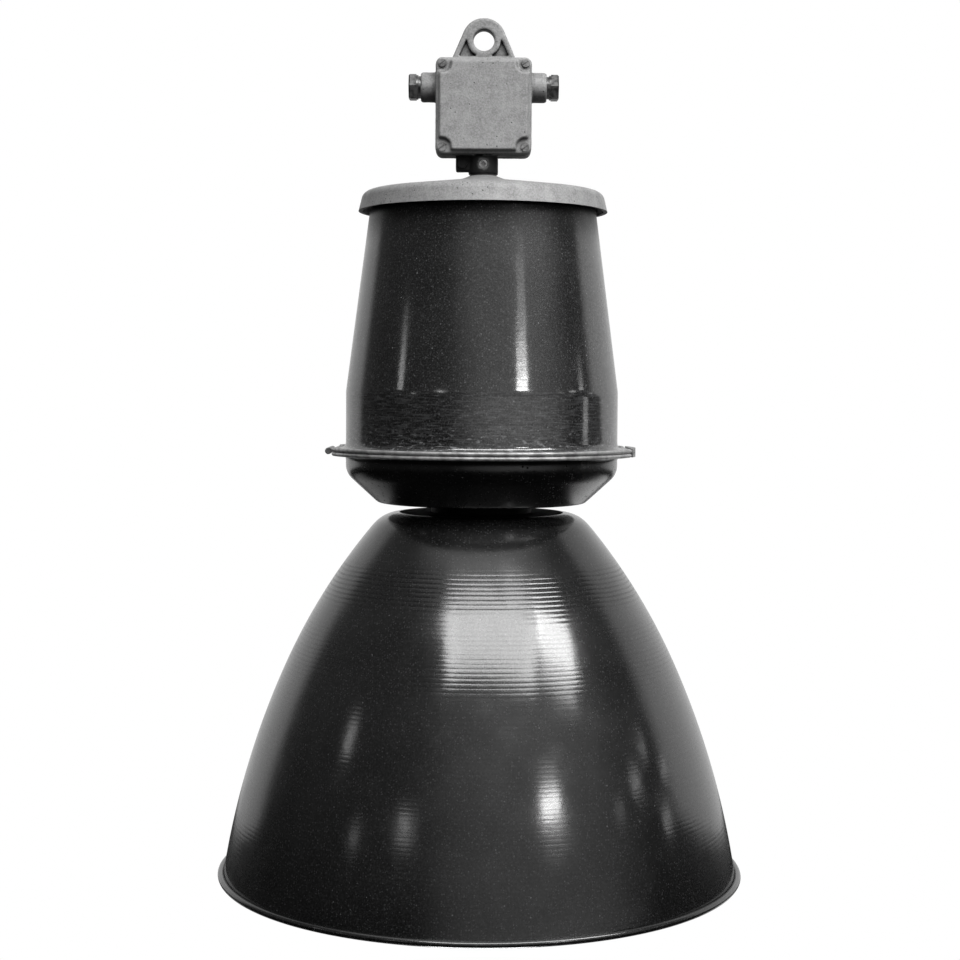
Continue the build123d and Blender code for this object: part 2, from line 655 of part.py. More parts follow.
# Gear housing: spun cone with an in-turned top, a short cylinder and an out-turned flange with a rolled edge
with BuildPart() as gear_housing:
    with BuildSketch(Plane.XZ):
        with Locations((FLANGE_R - HEM_R, UPPER_FLANGE_TOP - SHEET / 2)):
            Circle(HEM_R)
    revolve(axis=Axis.Z)
    with BuildSketch(Plane.XY.offset(FLANGE_Z)):
        Rectangle(2 * FLANGE_R, 2 * HEM_END)
    extrude(amount=FLANGE_GAP / 2 + SHEET + HEM_R, mode=Mode.SUBTRACT)
    with BuildSketch(Plane.XZ):
        with BuildLine():
            FilletPolyline(
                (HOUSING_MOUTH_R, HOUSING_TOP),
                (HOUSING_TOP_R, HOUSING_TOP),
                (HOUSING_R, BEND_Z),
                (HOUSING_R, UPPER_FLANGE_TOP),
                (FLANGE_R - HEM_R, UPPER_FLANGE_TOP),
                radius=[HOUSING_EDGE_R, HOUSING_BEND_R, FLANGE_BEND_R],
            )
            offset(amount=SHEET, side=Side.RIGHT)
        make_face()
    revolve(axis=Axis.Z)
    with BuildSketch(Plane.XY.offset(UPPER_FLANGE_TOP)):
        Circle(FLANGE_R + SHEET)
        Rectangle(2 * CHORD_X, 2 * FLANGE_R + 2 * SHEET, mode=Mode.SUBTRACT)
    extrude(amount=-SHEET, mode=Mode.SUBTRACT)
    with BuildSketch(Plane.XY.offset(HOUSING_TOP)):
        with PolarLocations(PILLAR_CIRCLE_R, 4):
            Circle(M6_R + FIT)
    extrude(amount=-SHEET, mode=Mode.SUBTRACT)
    with BuildSketch(Plane.XY.offset(UPPER_FLANGE_TOP)):
        with Locations((-RIVET_X, 0)):
            with GridLocations(1, HINGE_RIVET_SPAN, 1, 3):
                Circle(RIVET_R + FIT)
        with Locations((RIVET_X, -BAR_RIVET_SPAN), (RIVET_X, BAR_RIVET_SPAN)):
            Circle(RIVET_R + FIT)
        with Locations((CLOSING_X, 0)):
            Circle(M4_R + CLOSING_PLAY)
    extrude(amount=-SHEET, mode=Mode.SUBTRACT)
save(gear_housing, "gear_housing")

# Lid bolts: four hexagon heads from inside the housing up into the pillars
with BuildPart() as lid_bolts:
    for turn in range(4):
        seat = HOUSING_TOP - SHEET - (TRAY_THICK if turn % 2 == 0 else 0)
        spot = Plane.XY.offset(seat).rotated((0, 0, 90 * turn))
        with BuildSketch(spot):
            with Locations((PILLAR_CIRCLE_R, 0)):
                RegularPolygon(M6_HEX_R, 6, major_radius=False)
        extrude(amount=-M6_HEAD)
        with BuildSketch(spot):
            with Locations((PILLAR_CIRCLE_R, 0)):
                Circle(M6_R)
        extrude(amount=HOUSING_TOP + LID_BOLT_REACH - seat)
save(lid_bolts, "lid_bolts")

# Flange gasket: flat ring, left out where the hinge leaves and closing bars lie
with BuildPart() as flange_gasket:
    with BuildSketch(Plane.XY.offset(UPPER_FLANGE_TOP - SHEET)):
        Circle(FLANGE_R - GASKET_INSET)
        Circle(HOUSING_R + GASKET_LAND, mode=Mode.SUBTRACT)
        for side in (-1, 1):
            gap = (2 * (FLANGE_R - LEAF_INNER + GASKET_MARGIN), 2 * (CHORD_HALF + GASKET_MARGIN))
            with Locations((side * FLANGE_R, 0)):
                Rectangle(*gap, mode=Mode.SUBTRACT)
    extrude(amount=-(FLANGE_GAP - BAR_GAP))
save(flange_gasket, "flange_gasket")

# Gear tray: bent sheet with a strip under the housing top and a hanging plate with stiff edges
ballast_spots = [
    (x, z)
    for x in (BASE_SCREW_INSET - CORE_HALF, CORE_HALF - BASE_SCREW_INSET)
    for z in (CORE_BOTTOM - BASE_LAP / 2, CORE_TOP + BASE_LAP / 2)
]
clamp_spots = [(x, (CLAMP_TOP + CLAMP_BOTTOM) / 2) for x in (-CLAMP_SCREW_X, CLAMP_SCREW_X)]
with BuildPart() as gear_tray:
    with BuildSketch(Plane.XY.offset(HOUSING_TOP - SHEET)):
        RectangleRounded(2 * TRAY_STRIP_HALF, TRAY_STRIP_WIDTH, TRAY_CORNER_R)
        with Locations((-PILLAR_CIRCLE_R, 0), (PILLAR_CIRCLE_R, 0)):
            Circle(M6_R + FIT, mode=Mode.SUBTRACT)
        with Locations((0, -TRAY_STRIP_WIDTH / 4), (0, TRAY_STRIP_WIDTH / 4)):
            Circle(TRAY_WIRE_R, mode=Mode.SUBTRACT)
    extrude(amount=-TRAY_THICK)
    tray_top = HOUSING_TOP - SHEET - TRAY_THICK
    with BuildSketch(Plane.XY.offset(TRAY_BOTTOM)):
        Rectangle(2 * TRAY_HALF, TRAY_THICK)
        for side in (-1, 1):
            with Locations((side * TRAY_HALF, -TRAY_THICK / 2)):
                Rectangle(TRAY_THICK, TRAY_LIP, align=(Align.MAX if side > 0 else Align.MIN, Align.MIN))
    extrude(amount=tray_top - TRAY_BOTTOM)
    with BuildSketch(Plane.XZ):
        with Locations(*ballast_spots, *clamp_spots):
            Circle(M4_R + FIT)
    extrude(amount=TRAY_THICK, both=True, mode=Mode.SUBTRACT)
save(gear_tray, "gear_tray")

# Ballast: laminated core with two windows and a base plate, and the coil that runs through them
BALLAST_BACK = -TRAY_THICK / 2
with BuildPart() as ballast_core:
    with BuildSketch(Plane.XY.offset(CORE_BOTTOM)):
        with Locations((0, BALLAST_BACK)):
            Rectangle(2 * CORE_HALF, CORE_DEPTH + BASE_THICK, align=(Align.CENTER, Align.MAX))
        for side in (-1, 1):
            with Locations((side * (COIL_INNER + COIL_OUTER) / 2, (COIL_FRONT + COIL_BACK) / 2)):
                Rectangle(COIL_OUTER - COIL_INNER, COIL_BACK - COIL_FRONT, mode=Mode.SUBTRACT)
    extrude(amount=CORE_TOP - CORE_BOTTOM)
    with BuildSketch(Plane.XZ.offset(-BALLAST_BACK)):
        with Locations((0, (CORE_TOP + CORE_BOTTOM) / 2)):
            Rectangle(2 * CORE_HALF, CORE_TOP - CORE_BOTTOM + 2 * BASE_LAP)
        with Locations(*ballast_spots):
            Circle(M4_R + FIT, mode=Mode.SUBTRACT)
    extrude(amount=BASE_THICK)
save(ballast_core, "ballast_core")

with BuildPart() as ballast_coil:
    with BuildSketch(Plane.XZ.offset(-COIL_BACK + COIL_PLAY)):
        with Locations((0, (CORE_TOP + CORE_BOTTOM) / 2)):
            coil_length = CORE_TOP - CORE_BOTTOM + 2 * COIL_PROUD
            RectangleRounded(2 * (COIL_OUTER - COIL_PLAY), coil_length, COIL_BEND_R)
            window = (2 * (COIL_INNER + COIL_PLAY), coil_length - 2 * COIL_END)
            RectangleRounded(*window, COIL_INNER_BEND_R, mode=Mode.SUBTRACT)
    extrude(amount=COIL_BACK - COIL_FRONT - 2 * COIL_PLAY)
save(ballast_coil, "ballast_coil")

# Capacitor can with two tags, and its clamp band on the back of the tray
CAPACITOR_Y = TRAY_THICK / 2 + CLAMP_BAND + CAPACITOR_R
with BuildPart() as capacitor:
    with BuildSketch(Plane.XY.offset(CAPACITOR_BOTTOM)):
        with Locations((0, CAPACITOR_Y)):
            Circle(CAPACITOR_R - FIT)
    extrude(amount=CAPACITOR_TOP - CAPACITOR_BOTTOM)
    fillet(capacitor.edges().filter_by(GeomType.CIRCLE), radius=CAPACITOR_EDGE_R)
    with BuildSketch(Plane.XY.offset(CAPACITOR_TOP)):
        with Locations((-TAG_X, CAPACITOR_Y), (TAG_X, CAPACITOR_Y)):
            Rectangle(TAG_THICK, TAG_WIDTH)
    extrude(amount=TAG_HEIGHT)
save(capacitor, "capacitor")

with BuildPart() as capacitor_clamp:
    with BuildSketch(Plane.XY.offset(CLAMP_BOTTOM)):
        with Locations((0, CAPACITOR_Y)):
            Circle(CAPACITOR_R + CLAMP_BAND)
        with Locations((0, TRAY_THICK / 2)):
            Rectangle(2 * (CLAMP_SCREW_X + CLAMP_TAB), CLAMP_BAND, align=(Align.CENTER, Align.MIN))
        with Locations((0, CAPACITOR_Y)):
            Circle(CAPACITOR_R, mode=Mode.SUBTRACT)
    extrude(amount=CLAMP_TOP - CLAMP_BOTTOM)
    with BuildSketch(Plane.XZ):
        with Locations(*clamp_spots):
            Circle(M4_R + FIT)
    extrude(amount=-TRAY_THICK - CLAMP_BAND, mode=Mode.SUBTRACT)
save(capacitor_clamp, "capacitor_clamp")

# Gear screws: head, shank and nut of each screw that holds the ballast and the clamp to the tray
with BuildPart() as gear_screws:
    ballast_face = TRAY_THICK / 2 + BASE_THICK
    clamp_face = -TRAY_THICK / 2 - CLAMP_BAND
    for spots, head, far in (
        (ballast_spots, ballast_face, -TRAY_THICK / 2),
        (clamp_spots, clamp_face, TRAY_THICK / 2),
    ):
        outwards = 1 if head > 0 else -1
        for face, height in ((head, M4_HEAD * outwards), (far, -M4_NUT * outwards)):
            with BuildSketch(Plane.XZ.offset(face)):
                with Locations(*spots):
                    RegularPolygon(M4_HEAD_R, 6, major_radius=False)
            extrude(amount=height)
        with BuildSketch(Plane.XZ.offset(head)):
            with Locations(*spots):
                Circle(M4_R)
        extrude(amount=far - head)
save(gear_screws, "gear_screws")

# Terminal block of the control gear, on the back of the tray
with BuildPart() as gear_terminal_block:
    with BuildSketch(Plane.XZ.offset(-TRAY_THICK / 2)):
        with Locations((GEAR_BLOCK_X, GEAR_BLOCK_Z)):
            RectangleRounded(GEAR_BLOCK_WIDTH, GEAR_BLOCK_HEIGHT, GEAR_BLOCK_R)
    extrude(amount=-GEAR_BLOCK_DEPTH)
    with BuildSketch(Plane.XZ.offset(-TRAY_THICK / 2 - GEAR_BLOCK_DEPTH)):
        with Locations((GEAR_BLOCK_X, GEAR_BLOCK_Z)):
            with GridLocations(GEAR_POLE_PITCH, GEAR_POLE_ROW, 3, 2):
                Circle(GEAR_POLE_R)
    extrude(amount=GEAR_POLE_DEPTH, mode=Mode.SUBTRACT)
save(gear_terminal_block, "gear_terminal_block")


def hinge_leaf(z_low, z_high, knuckles):
    with BuildPart() as leaf:
        with BuildSketch(Plane.XY.offset(z_low)):
            with Locations((-LEAF_INNER, 0)):
                Rectangle(LEAF_OUTER - LEAF_INNER, 2 * LEAF_HALF, align=(Align.MAX, Align.CENTER))
        extrude(amount=z_high - z_low)
        for start, length in knuckles:
            with BuildSketch(Plane.XZ.offset(start)):
                with Locations((HINGE_X, FLANGE_Z)):
                    Circle(KNUCKLE_R)
                with Locations((HINGE_X, z_low)):
                    Rectangle(-LEAF_INNER - HINGE_X, z_high - z_low, align=(Align.MIN, Align.MIN))
                with Locations((HINGE_X, FLANGE_Z)):
                    Circle(PIN_R + FIT, mode=Mode.SUBTRACT)
            extrude(amount=length)
        with BuildSketch(Plane.XY.offset(z_low)):
            with Locations((-RIVET_X, 0)):
                with GridLocations(1, HINGE_RIVET_SPAN, 1, 3):
                    Circle(RIVET_R + FIT)
        extrude(amount=z_high - z_low, mode=Mode.SUBTRACT)
    return leaf


def rivets(spots, z_low, z_high):
    with BuildPart() as row:
        with BuildSketch(Plane.XY.offset(z_low)):
            with Locations(*spots):
                Circle(RIVET_R)
        extrude(amount=z_high - z_low)
    return row


# Hinge on the left of the flange: two leaves between the sheets, a pin and flush rivets
UPPER_LEAF_TOP = UPPER_FLANGE_TOP - SHEET
LOWER_LEAF_BOTTOM = LOWER_FLANGE_BOTTOM + SHEET
outer_knuckle = LEAF_HALF - MID_KNUCKLE_HALF - KNUCKLE_PLAY
hinge_upper_leaf = hinge_leaf(
    UPPER_LEAF_TOP - LEAF_THICK,
    UPPER_LEAF_TOP,
    ((-LEAF_HALF, outer_knuckle), (LEAF_HALF - outer_knuckle, outer_knuckle)),
)
save(hinge_upper_leaf, "hinge_upper_leaf")
hinge_lower_leaf = hinge_leaf(
    LOWER_LEAF_BOTTOM,
    LOWER_LEAF_BOTTOM + LEAF_THICK,
    ((-MID_KNUCKLE_HALF, 2 * MID_KNUCKLE_HALF),),
)
save(hinge_lower_leaf, "hinge_lower_leaf")

with BuildPart() as hinge_pin:
    with BuildSketch(Plane.XZ.offset(LEAF_HALF)):
        with Locations((HINGE_X, FLANGE_Z)):
            Circle(PIN_R)
    extrude(amount=-2 * LEAF_HALF)
    for face, height in ((LEAF_HALF, PIN_HEAD), (-LEAF_HALF, -PIN_HEAD)):
        with BuildSketch(Plane.XZ.offset(face)):
            with Locations((HINGE_X, FLANGE_Z)):
                Circle(PIN_HEAD_R)
        extrude(amount=height)
save(hinge_pin, "hinge_pin")

hinge_spots = [(-RIVET_X, y) for y in (-HINGE_RIVET_SPAN, 0, HINGE_RIVET_SPAN)]
closing_spots = [(RIVET_X, y) for y in (-BAR_RIVET_SPAN, BAR_RIVET_SPAN)]
upper_rivets = rivets(hinge_spots + closing_spots, UPPER_LEAF_TOP - LEAF_THICK, UPPER_FLANGE_TOP)
save(upper_rivets, "upper_rivets")
lower_rivets = rivets(hinge_spots + closing_spots, LOWER_FLANGE_BOTTOM, LOWER_LEAF_BOTTOM + LEAF_THICK)
save(lower_rivets, "lower_rivets")


def closing_bar(tongue_low, tongue_high, bar_low, bar_high):
    bar_inner = CHORD_X + BAR_PLAY
    with BuildPart() as bar:
        with BuildSketch(Plane.XY.offset(tongue_low)):
            with Locations((LEAF_INNER, 0)):
                Rectangle(bar_inner + TONGUE_LAP - LEAF_INNER, 2 * BAR_HALF, align=(Align.MIN, Align.CENTER))
        extrude(amount=tongue_high - tongue_low)
        with BuildSketch(Plane.XY.offset(bar_low)):
            Circle(FLANGE_R)
            with Locations((bar_inner, 0)):
                Rectangle(FLANGE_R, 2 * BAR_HALF, align=(Align.MIN, Align.CENTER), mode=Mode.INTERSECT)
        extrude(amount=bar_high - bar_low)
        with BuildSketch(Plane.XY.offset(tongue_low)):
            with Locations(*closing_spots):
                Circle(RIVET_R + FIT)
            with Locations((CLOSING_X, 0)):
                Circle(M4_R + CLOSING_PLAY)
        extrude(amount=tongue_high - tongue_low, mode=Mode.SUBTRACT)
        with BuildSketch(Plane.XY.offset(LOWER_FLANGE_BOTTOM)):
            with Locations((CLOSING_X, 0)):
                Circle(CLOSING_HEAD_R + FIT)
        extrude(amount=CLOSING_HEAD_R - M4_R, taper=45, mode=Mode.SUBTRACT)
        with BuildSketch(Plane.XY.offset(bar_low)):
            with Locations((CLOSING_X, 0)):
                Circle(CLOSING_HEAD_R + FIT)
        extrude(amount=LOWER_FLANGE_BOTTOM - bar_low, mode=Mode.SUBTRACT)
    return bar


# Closing bars on the right: they round off the flanges and are drawn together by the closing screw
closing_bar_upper = closing_bar(
    UPPER_LEAF_TOP - LEAF_THICK,
    UPPER_LEAF_TOP,
    FLANGE_Z + BAR_GAP / 2,
    UPPER_FLANGE_TOP - SHEET / 2 + HEM_R,
)
save(closing_bar_upper, "closing_bar_upper")
closing_bar_lower = closing_bar(
    LOWER_LEAF_BOTTOM,
    LOWER_LEAF_BOTTOM + LEAF_THICK,
    LOWER_FLANGE_BOTTOM + SHEET / 2 - HEM_R,
    FLANGE_Z - BAR_GAP / 2,
)
save(closing_bar_lower, "closing_bar_lower")

with BuildPart() as closing_screw:
    with BuildSketch(Plane.XY.offset(LOWER_FLANGE_BOTTOM)):
        with Locations((CLOSING_X, 0)):
            Circle(M4_R)
    extrude(amount=UPPER_FLANGE_TOP - LOWER_FLANGE_BOTTOM)
    with BuildSketch(Plane.XY.offset(LOWER_FLANGE_BOTTOM)):
        with Locations((CLOSING_X, 0)):
            Circle(CLOSING_HEAD_R)
    extrude(amount=CLOSING_HEAD_R - M4_R, taper=45)
    with BuildSketch(Plane.XY.offset(LOWER_FLANGE_BOTTOM)):
        with Locations((CLOSING_X, 0)):
            Rectangle(3 * CLOSING_HEAD_R, SLOT_WIDTH)
    extrude(amount=SLOT_DEPTH, mode=Mode.SUBTRACT)
save(closing_screw, "closing_screw")

# Lower pan: flange with a rolled edge, short cylinder, cone and flat bottom
with BuildPart() as lower_pan:
    with BuildSketch(Plane.XZ):
        with Locations((FLANGE_R - HEM_R, LOWER_FLANGE_BOTTOM + SHEET / 2)):
            Circle(HEM_R)
    revolve(axis=Axis.Z)
    with BuildSketch(Plane.XY.offset(FLANGE_Z)):
        Rectangle(2 * FLANGE_R, 2 * HEM_END)
    extrude(amount=-FLANGE_GAP / 2 - SHEET - HEM_R, mode=Mode.SUBTRACT)
    with BuildSketch(Plane.XZ):
        with BuildLine():
            FilletPolyline(
                (FLANGE_R - HEM_R, LOWER_FLANGE_BOTTOM),
                (HOUSING_R, LOWER_FLANGE_BOTTOM),
                (HOUSING_R, PAN_KNEE_Z),
                (PAN_FLOOR_R, PAN_BOTTOM),
                (PAN_HOLE_R, PAN_BOTTOM),
                radius=[FLANGE_BEND_R, PAN_KNEE_R, PAN_FLOOR_BEND_R],
            )
            offset(amount=SHEET, side=Side.RIGHT)
        make_face()
    revolve(axis=Axis.Z)
    with BuildSketch(Plane.XY.offset(LOWER_FLANGE_BOTTOM)):
        Circle(FLANGE_R + SHEET)
        Rectangle(2 * CHORD_X, 2 * FLANGE_R + 2 * SHEET, mode=Mode.SUBTRACT)
    extrude(amount=SHEET, mode=Mode.SUBTRACT)
    with BuildSketch(Plane.XY.offset(LOWER_FLANGE_BOTTOM)):
        with Locations(*hinge_spots, *closing_spots):
            Circle(RIVET_R + FIT)
        with Locations((CLOSING_X, 0)):
            Circle(M4_R + FIT)
    extrude(amount=SHEET, mode=Mode.SUBTRACT)
    with BuildSketch(Plane.XY.offset(LOWER_FLANGE_BOTTOM)):
        with Locations((CLOSING_X, 0)):
            Circle(CLOSING_HEAD_R + FIT)
    extrude(amount=CLOSING_HEAD_R - M4_R, taper=45, mode=Mode.SUBTRACT)
    with BuildSketch(Plane.XY.offset(PAN_BOTTOM)):
        with PolarLocations(COLLAR_BOLT_CIRCLE_R, 4):
            Circle(M5_R + FIT)
    extrude(amount=SHEET, mode=Mode.SUBTRACT)
save(lower_pan, "lower_pan")

# Neck collar between pan and shade
with BuildPart() as neck_collar:
    with BuildSketch(Plane.XY.offset(SHADE_TOP)):
        Circle(COLLAR_R)
        Circle(SHADE_HOLE_R, mode=Mode.SUBTRACT)
        with PolarLocations(COLLAR_BOLT_CIRCLE_R, 4):
            Circle(M5_R + FIT, mode=Mode.SUBTRACT)
    extrude(amount=PAN_BOTTOM - SHADE_TOP)
save(neck_collar, "neck_collar")

# Shade: spun bell with a flat top, a round shoulder and a wired rim
with BuildPart() as shade:
    with BuildSketch(Plane.XZ):
        with BuildLine():
            crown = Line((SHADE_HOLE_R, SHADE_TOP), (SHADE_FLAT_R, SHADE_TOP))
            TangentArc(crown @ 1, SHADE_SHOULDER, tangent=crown % 1)
            RadiusArc(SHADE_SHOULDER, SHADE_MIDDLE, UPPER_BELL_R)
            RadiusArc(SHADE_MIDDLE, SHADE_RIM, LOWER_BELL_R)
            offset(amount=SHEET, side=Side.RIGHT)
        make_face()
        with Locations((SHADE_R - BEAD_R, SHADE_RIM[1])):
            Circle(BEAD_R)
    revolve(axis=Axis.Z)
    with BuildSketch(Plane.XY.offset(SHADE_TOP)):
        with PolarLocations(COLLAR_BOLT_CIRCLE_R, 4):
            Circle(M5_R + FIT)
    extrude(amount=-SHEET, mode=Mode.SUBTRACT)
save(shade, "shade")

# Collar bolts and nuts: four that clamp bracket, pan, collar and shade together
PAN_INSIDE = PAN_BOTTOM + SHEET
SHADE_UNDER = SHADE_TOP - SHEET
with BuildPart() as collar_bolts:
    for turn in range(4):
        seat = PAN_INSIDE + (BRACKET_THICK if turn % 2 == 0 else 0)
        spot = Plane.XY.offset(seat).rotated((0, 0, 90 * turn))
        with BuildSketch(spot):
            with Locations((COLLAR_BOLT_CIRCLE_R, 0)):
                RegularPolygon(M5_HEX_R, 6, major_radius=False)
        extrude(amount=M5_HEAD)
        with BuildSketch(spot):
            with Locations((COLLAR_BOLT_CIRCLE_R, 0)):
                Circle(M5_R)
        extrude(amount=SHADE_UNDER - COLLAR_BOLT_TAIL - seat)
save(collar_bolts, "collar_bolts")

with BuildPart() as collar_nuts:
    with BuildSketch(Plane.XY.offset(SHADE_UNDER)):
        with PolarLocations(COLLAR_BOLT_CIRCLE_R, 4):
            RegularPolygon(M5_HEX_R, 6, major_radius=False)
            Circle(M5_R + FIT, mode=Mode.SUBTRACT)
    extrude(amount=-M5_NUT)
save(collar_nuts, "collar_nuts")

# Lampholder bracket: bent strap that stands on the pan floor over the neck
with BuildPart() as lampholder_bracket:
    with BuildSketch(Plane.XZ.offset(-BRACKET_WIDTH / 2)):
        with BuildLine():
            FilletPolyline(
                (-BRACKET_FOOT, PAN_INSIDE),
                (-BRACKET_X, PAN_INSIDE),
                (-BRACKET_X, HOLDER_TOP),
                (BRACKET_X, HOLDER_TOP),
                (BRACKET_X, PAN_INSIDE),
                (BRACKET_FOOT, PAN_INSIDE),
                radius=BRACKET_BEND_R,
            )
            offset(amount=BRACKET_THICK, side=Side.LEFT)
        make_face()
    extrude(amount=BRACKET_WIDTH)
    with BuildSketch(Plane.XY.offset(HOLDER_TOP)):
        Circle(BRACKET_WIRE_R)
        with Locations((-HOLDER_SCREW_X, 0), (HOLDER_SCREW_X, 0)):
            Circle(M4_R + FIT)
    extrude(amount=BRACKET_THICK, mode=Mode.SUBTRACT)
    with BuildSketch(Plane.XY.offset(PAN_INSIDE)):
        with Locations((-COLLAR_BOLT_CIRCLE_R, 0), (COLLAR_BOLT_CIRCLE_R, 0)):
            Circle(M5_R + FIT)
    extrude(amount=BRACKET_THICK, mode=Mode.SUBTRACT)
save(lampholder_bracket, "lampholder_bracket")

# Lampholder: porcelain body with a ribbed shoulder, metal screw shell and sprung centre contact
with BuildPart() as lampholder_body:
    with BuildSketch(Plane.XZ):
        with BuildLine():
            FilletPolyline(
                (CONTACT_STEM_R + CONTACT_PLAY, HOLDER_TOP),
                (HOLDER_TOP_R, HOLDER_TOP),
                (HOLDER_TOP_R, HOLDER_SHOULDER),
                (HOLDER_R, HOLDER_SHOULDER - HOLDER_SLOPE),
                (HOLDER_R - HOLDER_TAPER, HOLDER_MOUTH),
                (SHELL_R + FIT + MOUTH_FLARE, HOLDER_MOUTH),
                (SHELL_R + FIT, HOLDER_MOUTH + MOUTH_LEAD),
                radius=[3, 2, 3, 2, 1],
            )
            Polyline(
                (SHELL_R + FIT, HOLDER_MOUTH + MOUTH_LEAD),
                (SHELL_R + FIT, HOLDER_FLOOR),
                (CONTACT_STEM_R + CONTACT_PLAY, HOLDER_FLOOR),
                (CONTACT_STEM_R + CONTACT_PLAY, HOLDER_TOP),
            )
        make_face()
    revolve(axis=Axis.Z)
    with BuildSketch(Plane.XY.offset(HOLDER_TOP)):
        with Locations((-HOLDER_SCREW_X, 0), (HOLDER_SCREW_X, 0)):
            Circle(M4_R + FIT)
    extrude(amount=-HOLDER_SCREW_HOLE, mode=Mode.SUBTRACT)
save(lampholder_body, "lampholder_body")

lampholder_shell = turned_ring(SHELL_R, SHELL_BORE_R, SHELL_BOTTOM, HOLDER_FLOOR - SHELL_DROP)
save(lampholder_shell, "lampholder_shell")

with BuildPart() as lampholder_screws:
    with BuildSketch(Plane.XY.offset(HOLDER_TOP + BRACKET_THICK)):
        with Locations((-HOLDER_SCREW_X, 0), (HOLDER_SCREW_X, 0)):
            Circle(M4_HEAD_R)
    extrude(amount=M4_HEAD)
    with BuildSketch(Plane.XY.offset(HOLDER_TOP + BRACKET_THICK)):
        with Locations((-HOLDER_SCREW_X, 0), (HOLDER_SCREW_X, 0)):
            Circle(M4_R)
    extrude(amount=-HOLDER_SCREW)
save(lampholder_screws, "lampholder_screws")

with BuildPart() as centre_contact:
    with BuildSketch(Plane.XY.offset(LAMP_TIP + CONTACT_REST)):
        Circle(CONTACT_R)
    extrude(amount=CONTACT_THICK)
    with BuildSketch(Plane.XY.offset(LAMP_TIP + CONTACT_REST)):
        Circle(CONTACT_STEM_R)
    extrude(amount=HOLDER_TOP - CONTACT_SUNK - LAMP_TIP)
save(centre_contact, "centre_contact")

# Lamp: screw cap, insulator with its tip contact, and a hollow opal bulb
with BuildPart() as bulb_cap:
    with BuildSketch(Plane.XZ):
        with BuildLine():
            FilletPolyline(
                (GLASS_NECK_R + FIT, CAP_BOTTOM),
                (CAP_R, CAP_BOTTOM),
                (CAP_R, CAP_TOP),
                (CAP_R - CAP_LIP, CAP_TOP),
                radius=[CAP_HEM_R, CAP_EDGE_R],
            )
            Polyline(
                (CAP_R - CAP_LIP, CAP_TOP),
                (CAP_R - CAP_LIP, CAP_TOP - CAP_WALL),
                (GLASS_NECK_R + FIT, CAP_TOP - CAP_WALL - CAP_LIP),
                (GLASS_NECK_R + FIT, CAP_BOTTOM),
            )
        make_face()
    revolve(axis=Axis.Z)
save(bulb_cap, "bulb_cap")

with BuildPart() as bulb_insulator:
    with BuildSketch(Plane.XZ):
        with BuildLine():
            Polyline(
                (0, CAP_TOP - CAP_WALL),
                (CAP_R - CAP_LIP - FIT, CAP_TOP - CAP_WALL),
                (CAP_R - CAP_LIP - FIT, CAP_TOP),
                (CONTACT_R + CONTACT_THICK, LAMP_TIP - TIP_HEIGHT),
                (0, LAMP_TIP - TIP_HEIGHT),
                close=True,
            )
        make_face()
    revolve(axis=Axis.Z)
save(bulb_insulator, "bulb_insulator")

with BuildPart() as bulb_contact:
    with BuildSketch(Plane.XY.offset(LAMP_TIP - TIP_HEIGHT)):
        Circle(CONTACT_R + CAP_WALL)
    extrude(amount=TIP_HEIGHT)
    fillet(bulb_contact.faces().sort_by(Axis.Z)[-1].edges(), radius=TIP_EDGE_R)
save(bulb_contact, "bulb_contact")

with BuildPart() as bulb_glass:
    neck_bottom = CAP_BOTTOM - GLASS_NECK
    turning = ((GLASS_NECK_R + GLASS_R) / 2, (neck_bottom + BELLY_TOP) / 2)
    with BuildSketch(Plane.XZ):
        with BuildLine():
            Line((GLASS_NECK_R, CAP_BOTTOM + GLASS_NECK), (GLASS_NECK_R, neck_bottom))
            flare = TangentArc((GLASS_NECK_R, neck_bottom), turning, tangent=(0, -1))
            TangentArc(turning, (GLASS_R, BELLY_TOP), tangent=flare % 1)
            Line((GLASS_R, BELLY_TOP), (GLASS_R, GLASS_BOTTOM + GLASS_R))
            TangentArc((GLASS_R, GLASS_BOTTOM + GLASS_R), (0, GLASS_BOTTOM), tangent=(0, -1))
            offset(amount=GLASS_WALL, side=Side.RIGHT)
        make_face()
    revolve(axis=Axis.Z)
save(bulb_glass, "bulb_glass")
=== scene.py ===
import json
import math

import bmesh
import bpy
import numpy as np
from mathutils import Matrix, Vector, noise


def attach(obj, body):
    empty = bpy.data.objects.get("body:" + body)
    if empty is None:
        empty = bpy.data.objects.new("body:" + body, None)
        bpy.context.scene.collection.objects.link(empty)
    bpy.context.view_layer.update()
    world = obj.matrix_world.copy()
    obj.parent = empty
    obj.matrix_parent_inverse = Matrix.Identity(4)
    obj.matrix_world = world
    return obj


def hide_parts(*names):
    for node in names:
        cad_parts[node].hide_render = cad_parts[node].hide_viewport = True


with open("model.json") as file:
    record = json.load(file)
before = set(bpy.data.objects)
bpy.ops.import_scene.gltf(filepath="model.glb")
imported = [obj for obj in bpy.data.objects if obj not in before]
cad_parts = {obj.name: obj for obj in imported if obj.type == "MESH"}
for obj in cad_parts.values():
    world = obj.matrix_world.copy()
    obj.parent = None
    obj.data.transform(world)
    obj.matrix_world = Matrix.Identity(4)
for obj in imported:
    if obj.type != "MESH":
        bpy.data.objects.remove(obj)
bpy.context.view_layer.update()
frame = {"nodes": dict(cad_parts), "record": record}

MM = 0.001

# Turned sheet metal and its mesh: radii and heights in millimetres from the hanging eye, angles in degrees
SHEET = 1.2
SEGMENTS = 216
OUTER_STEP = 0.7
INNER_SKIP = 5
BELL_EASING = 60
FLANGE_EASING = 6
SHARP_ANGLE = 50.0

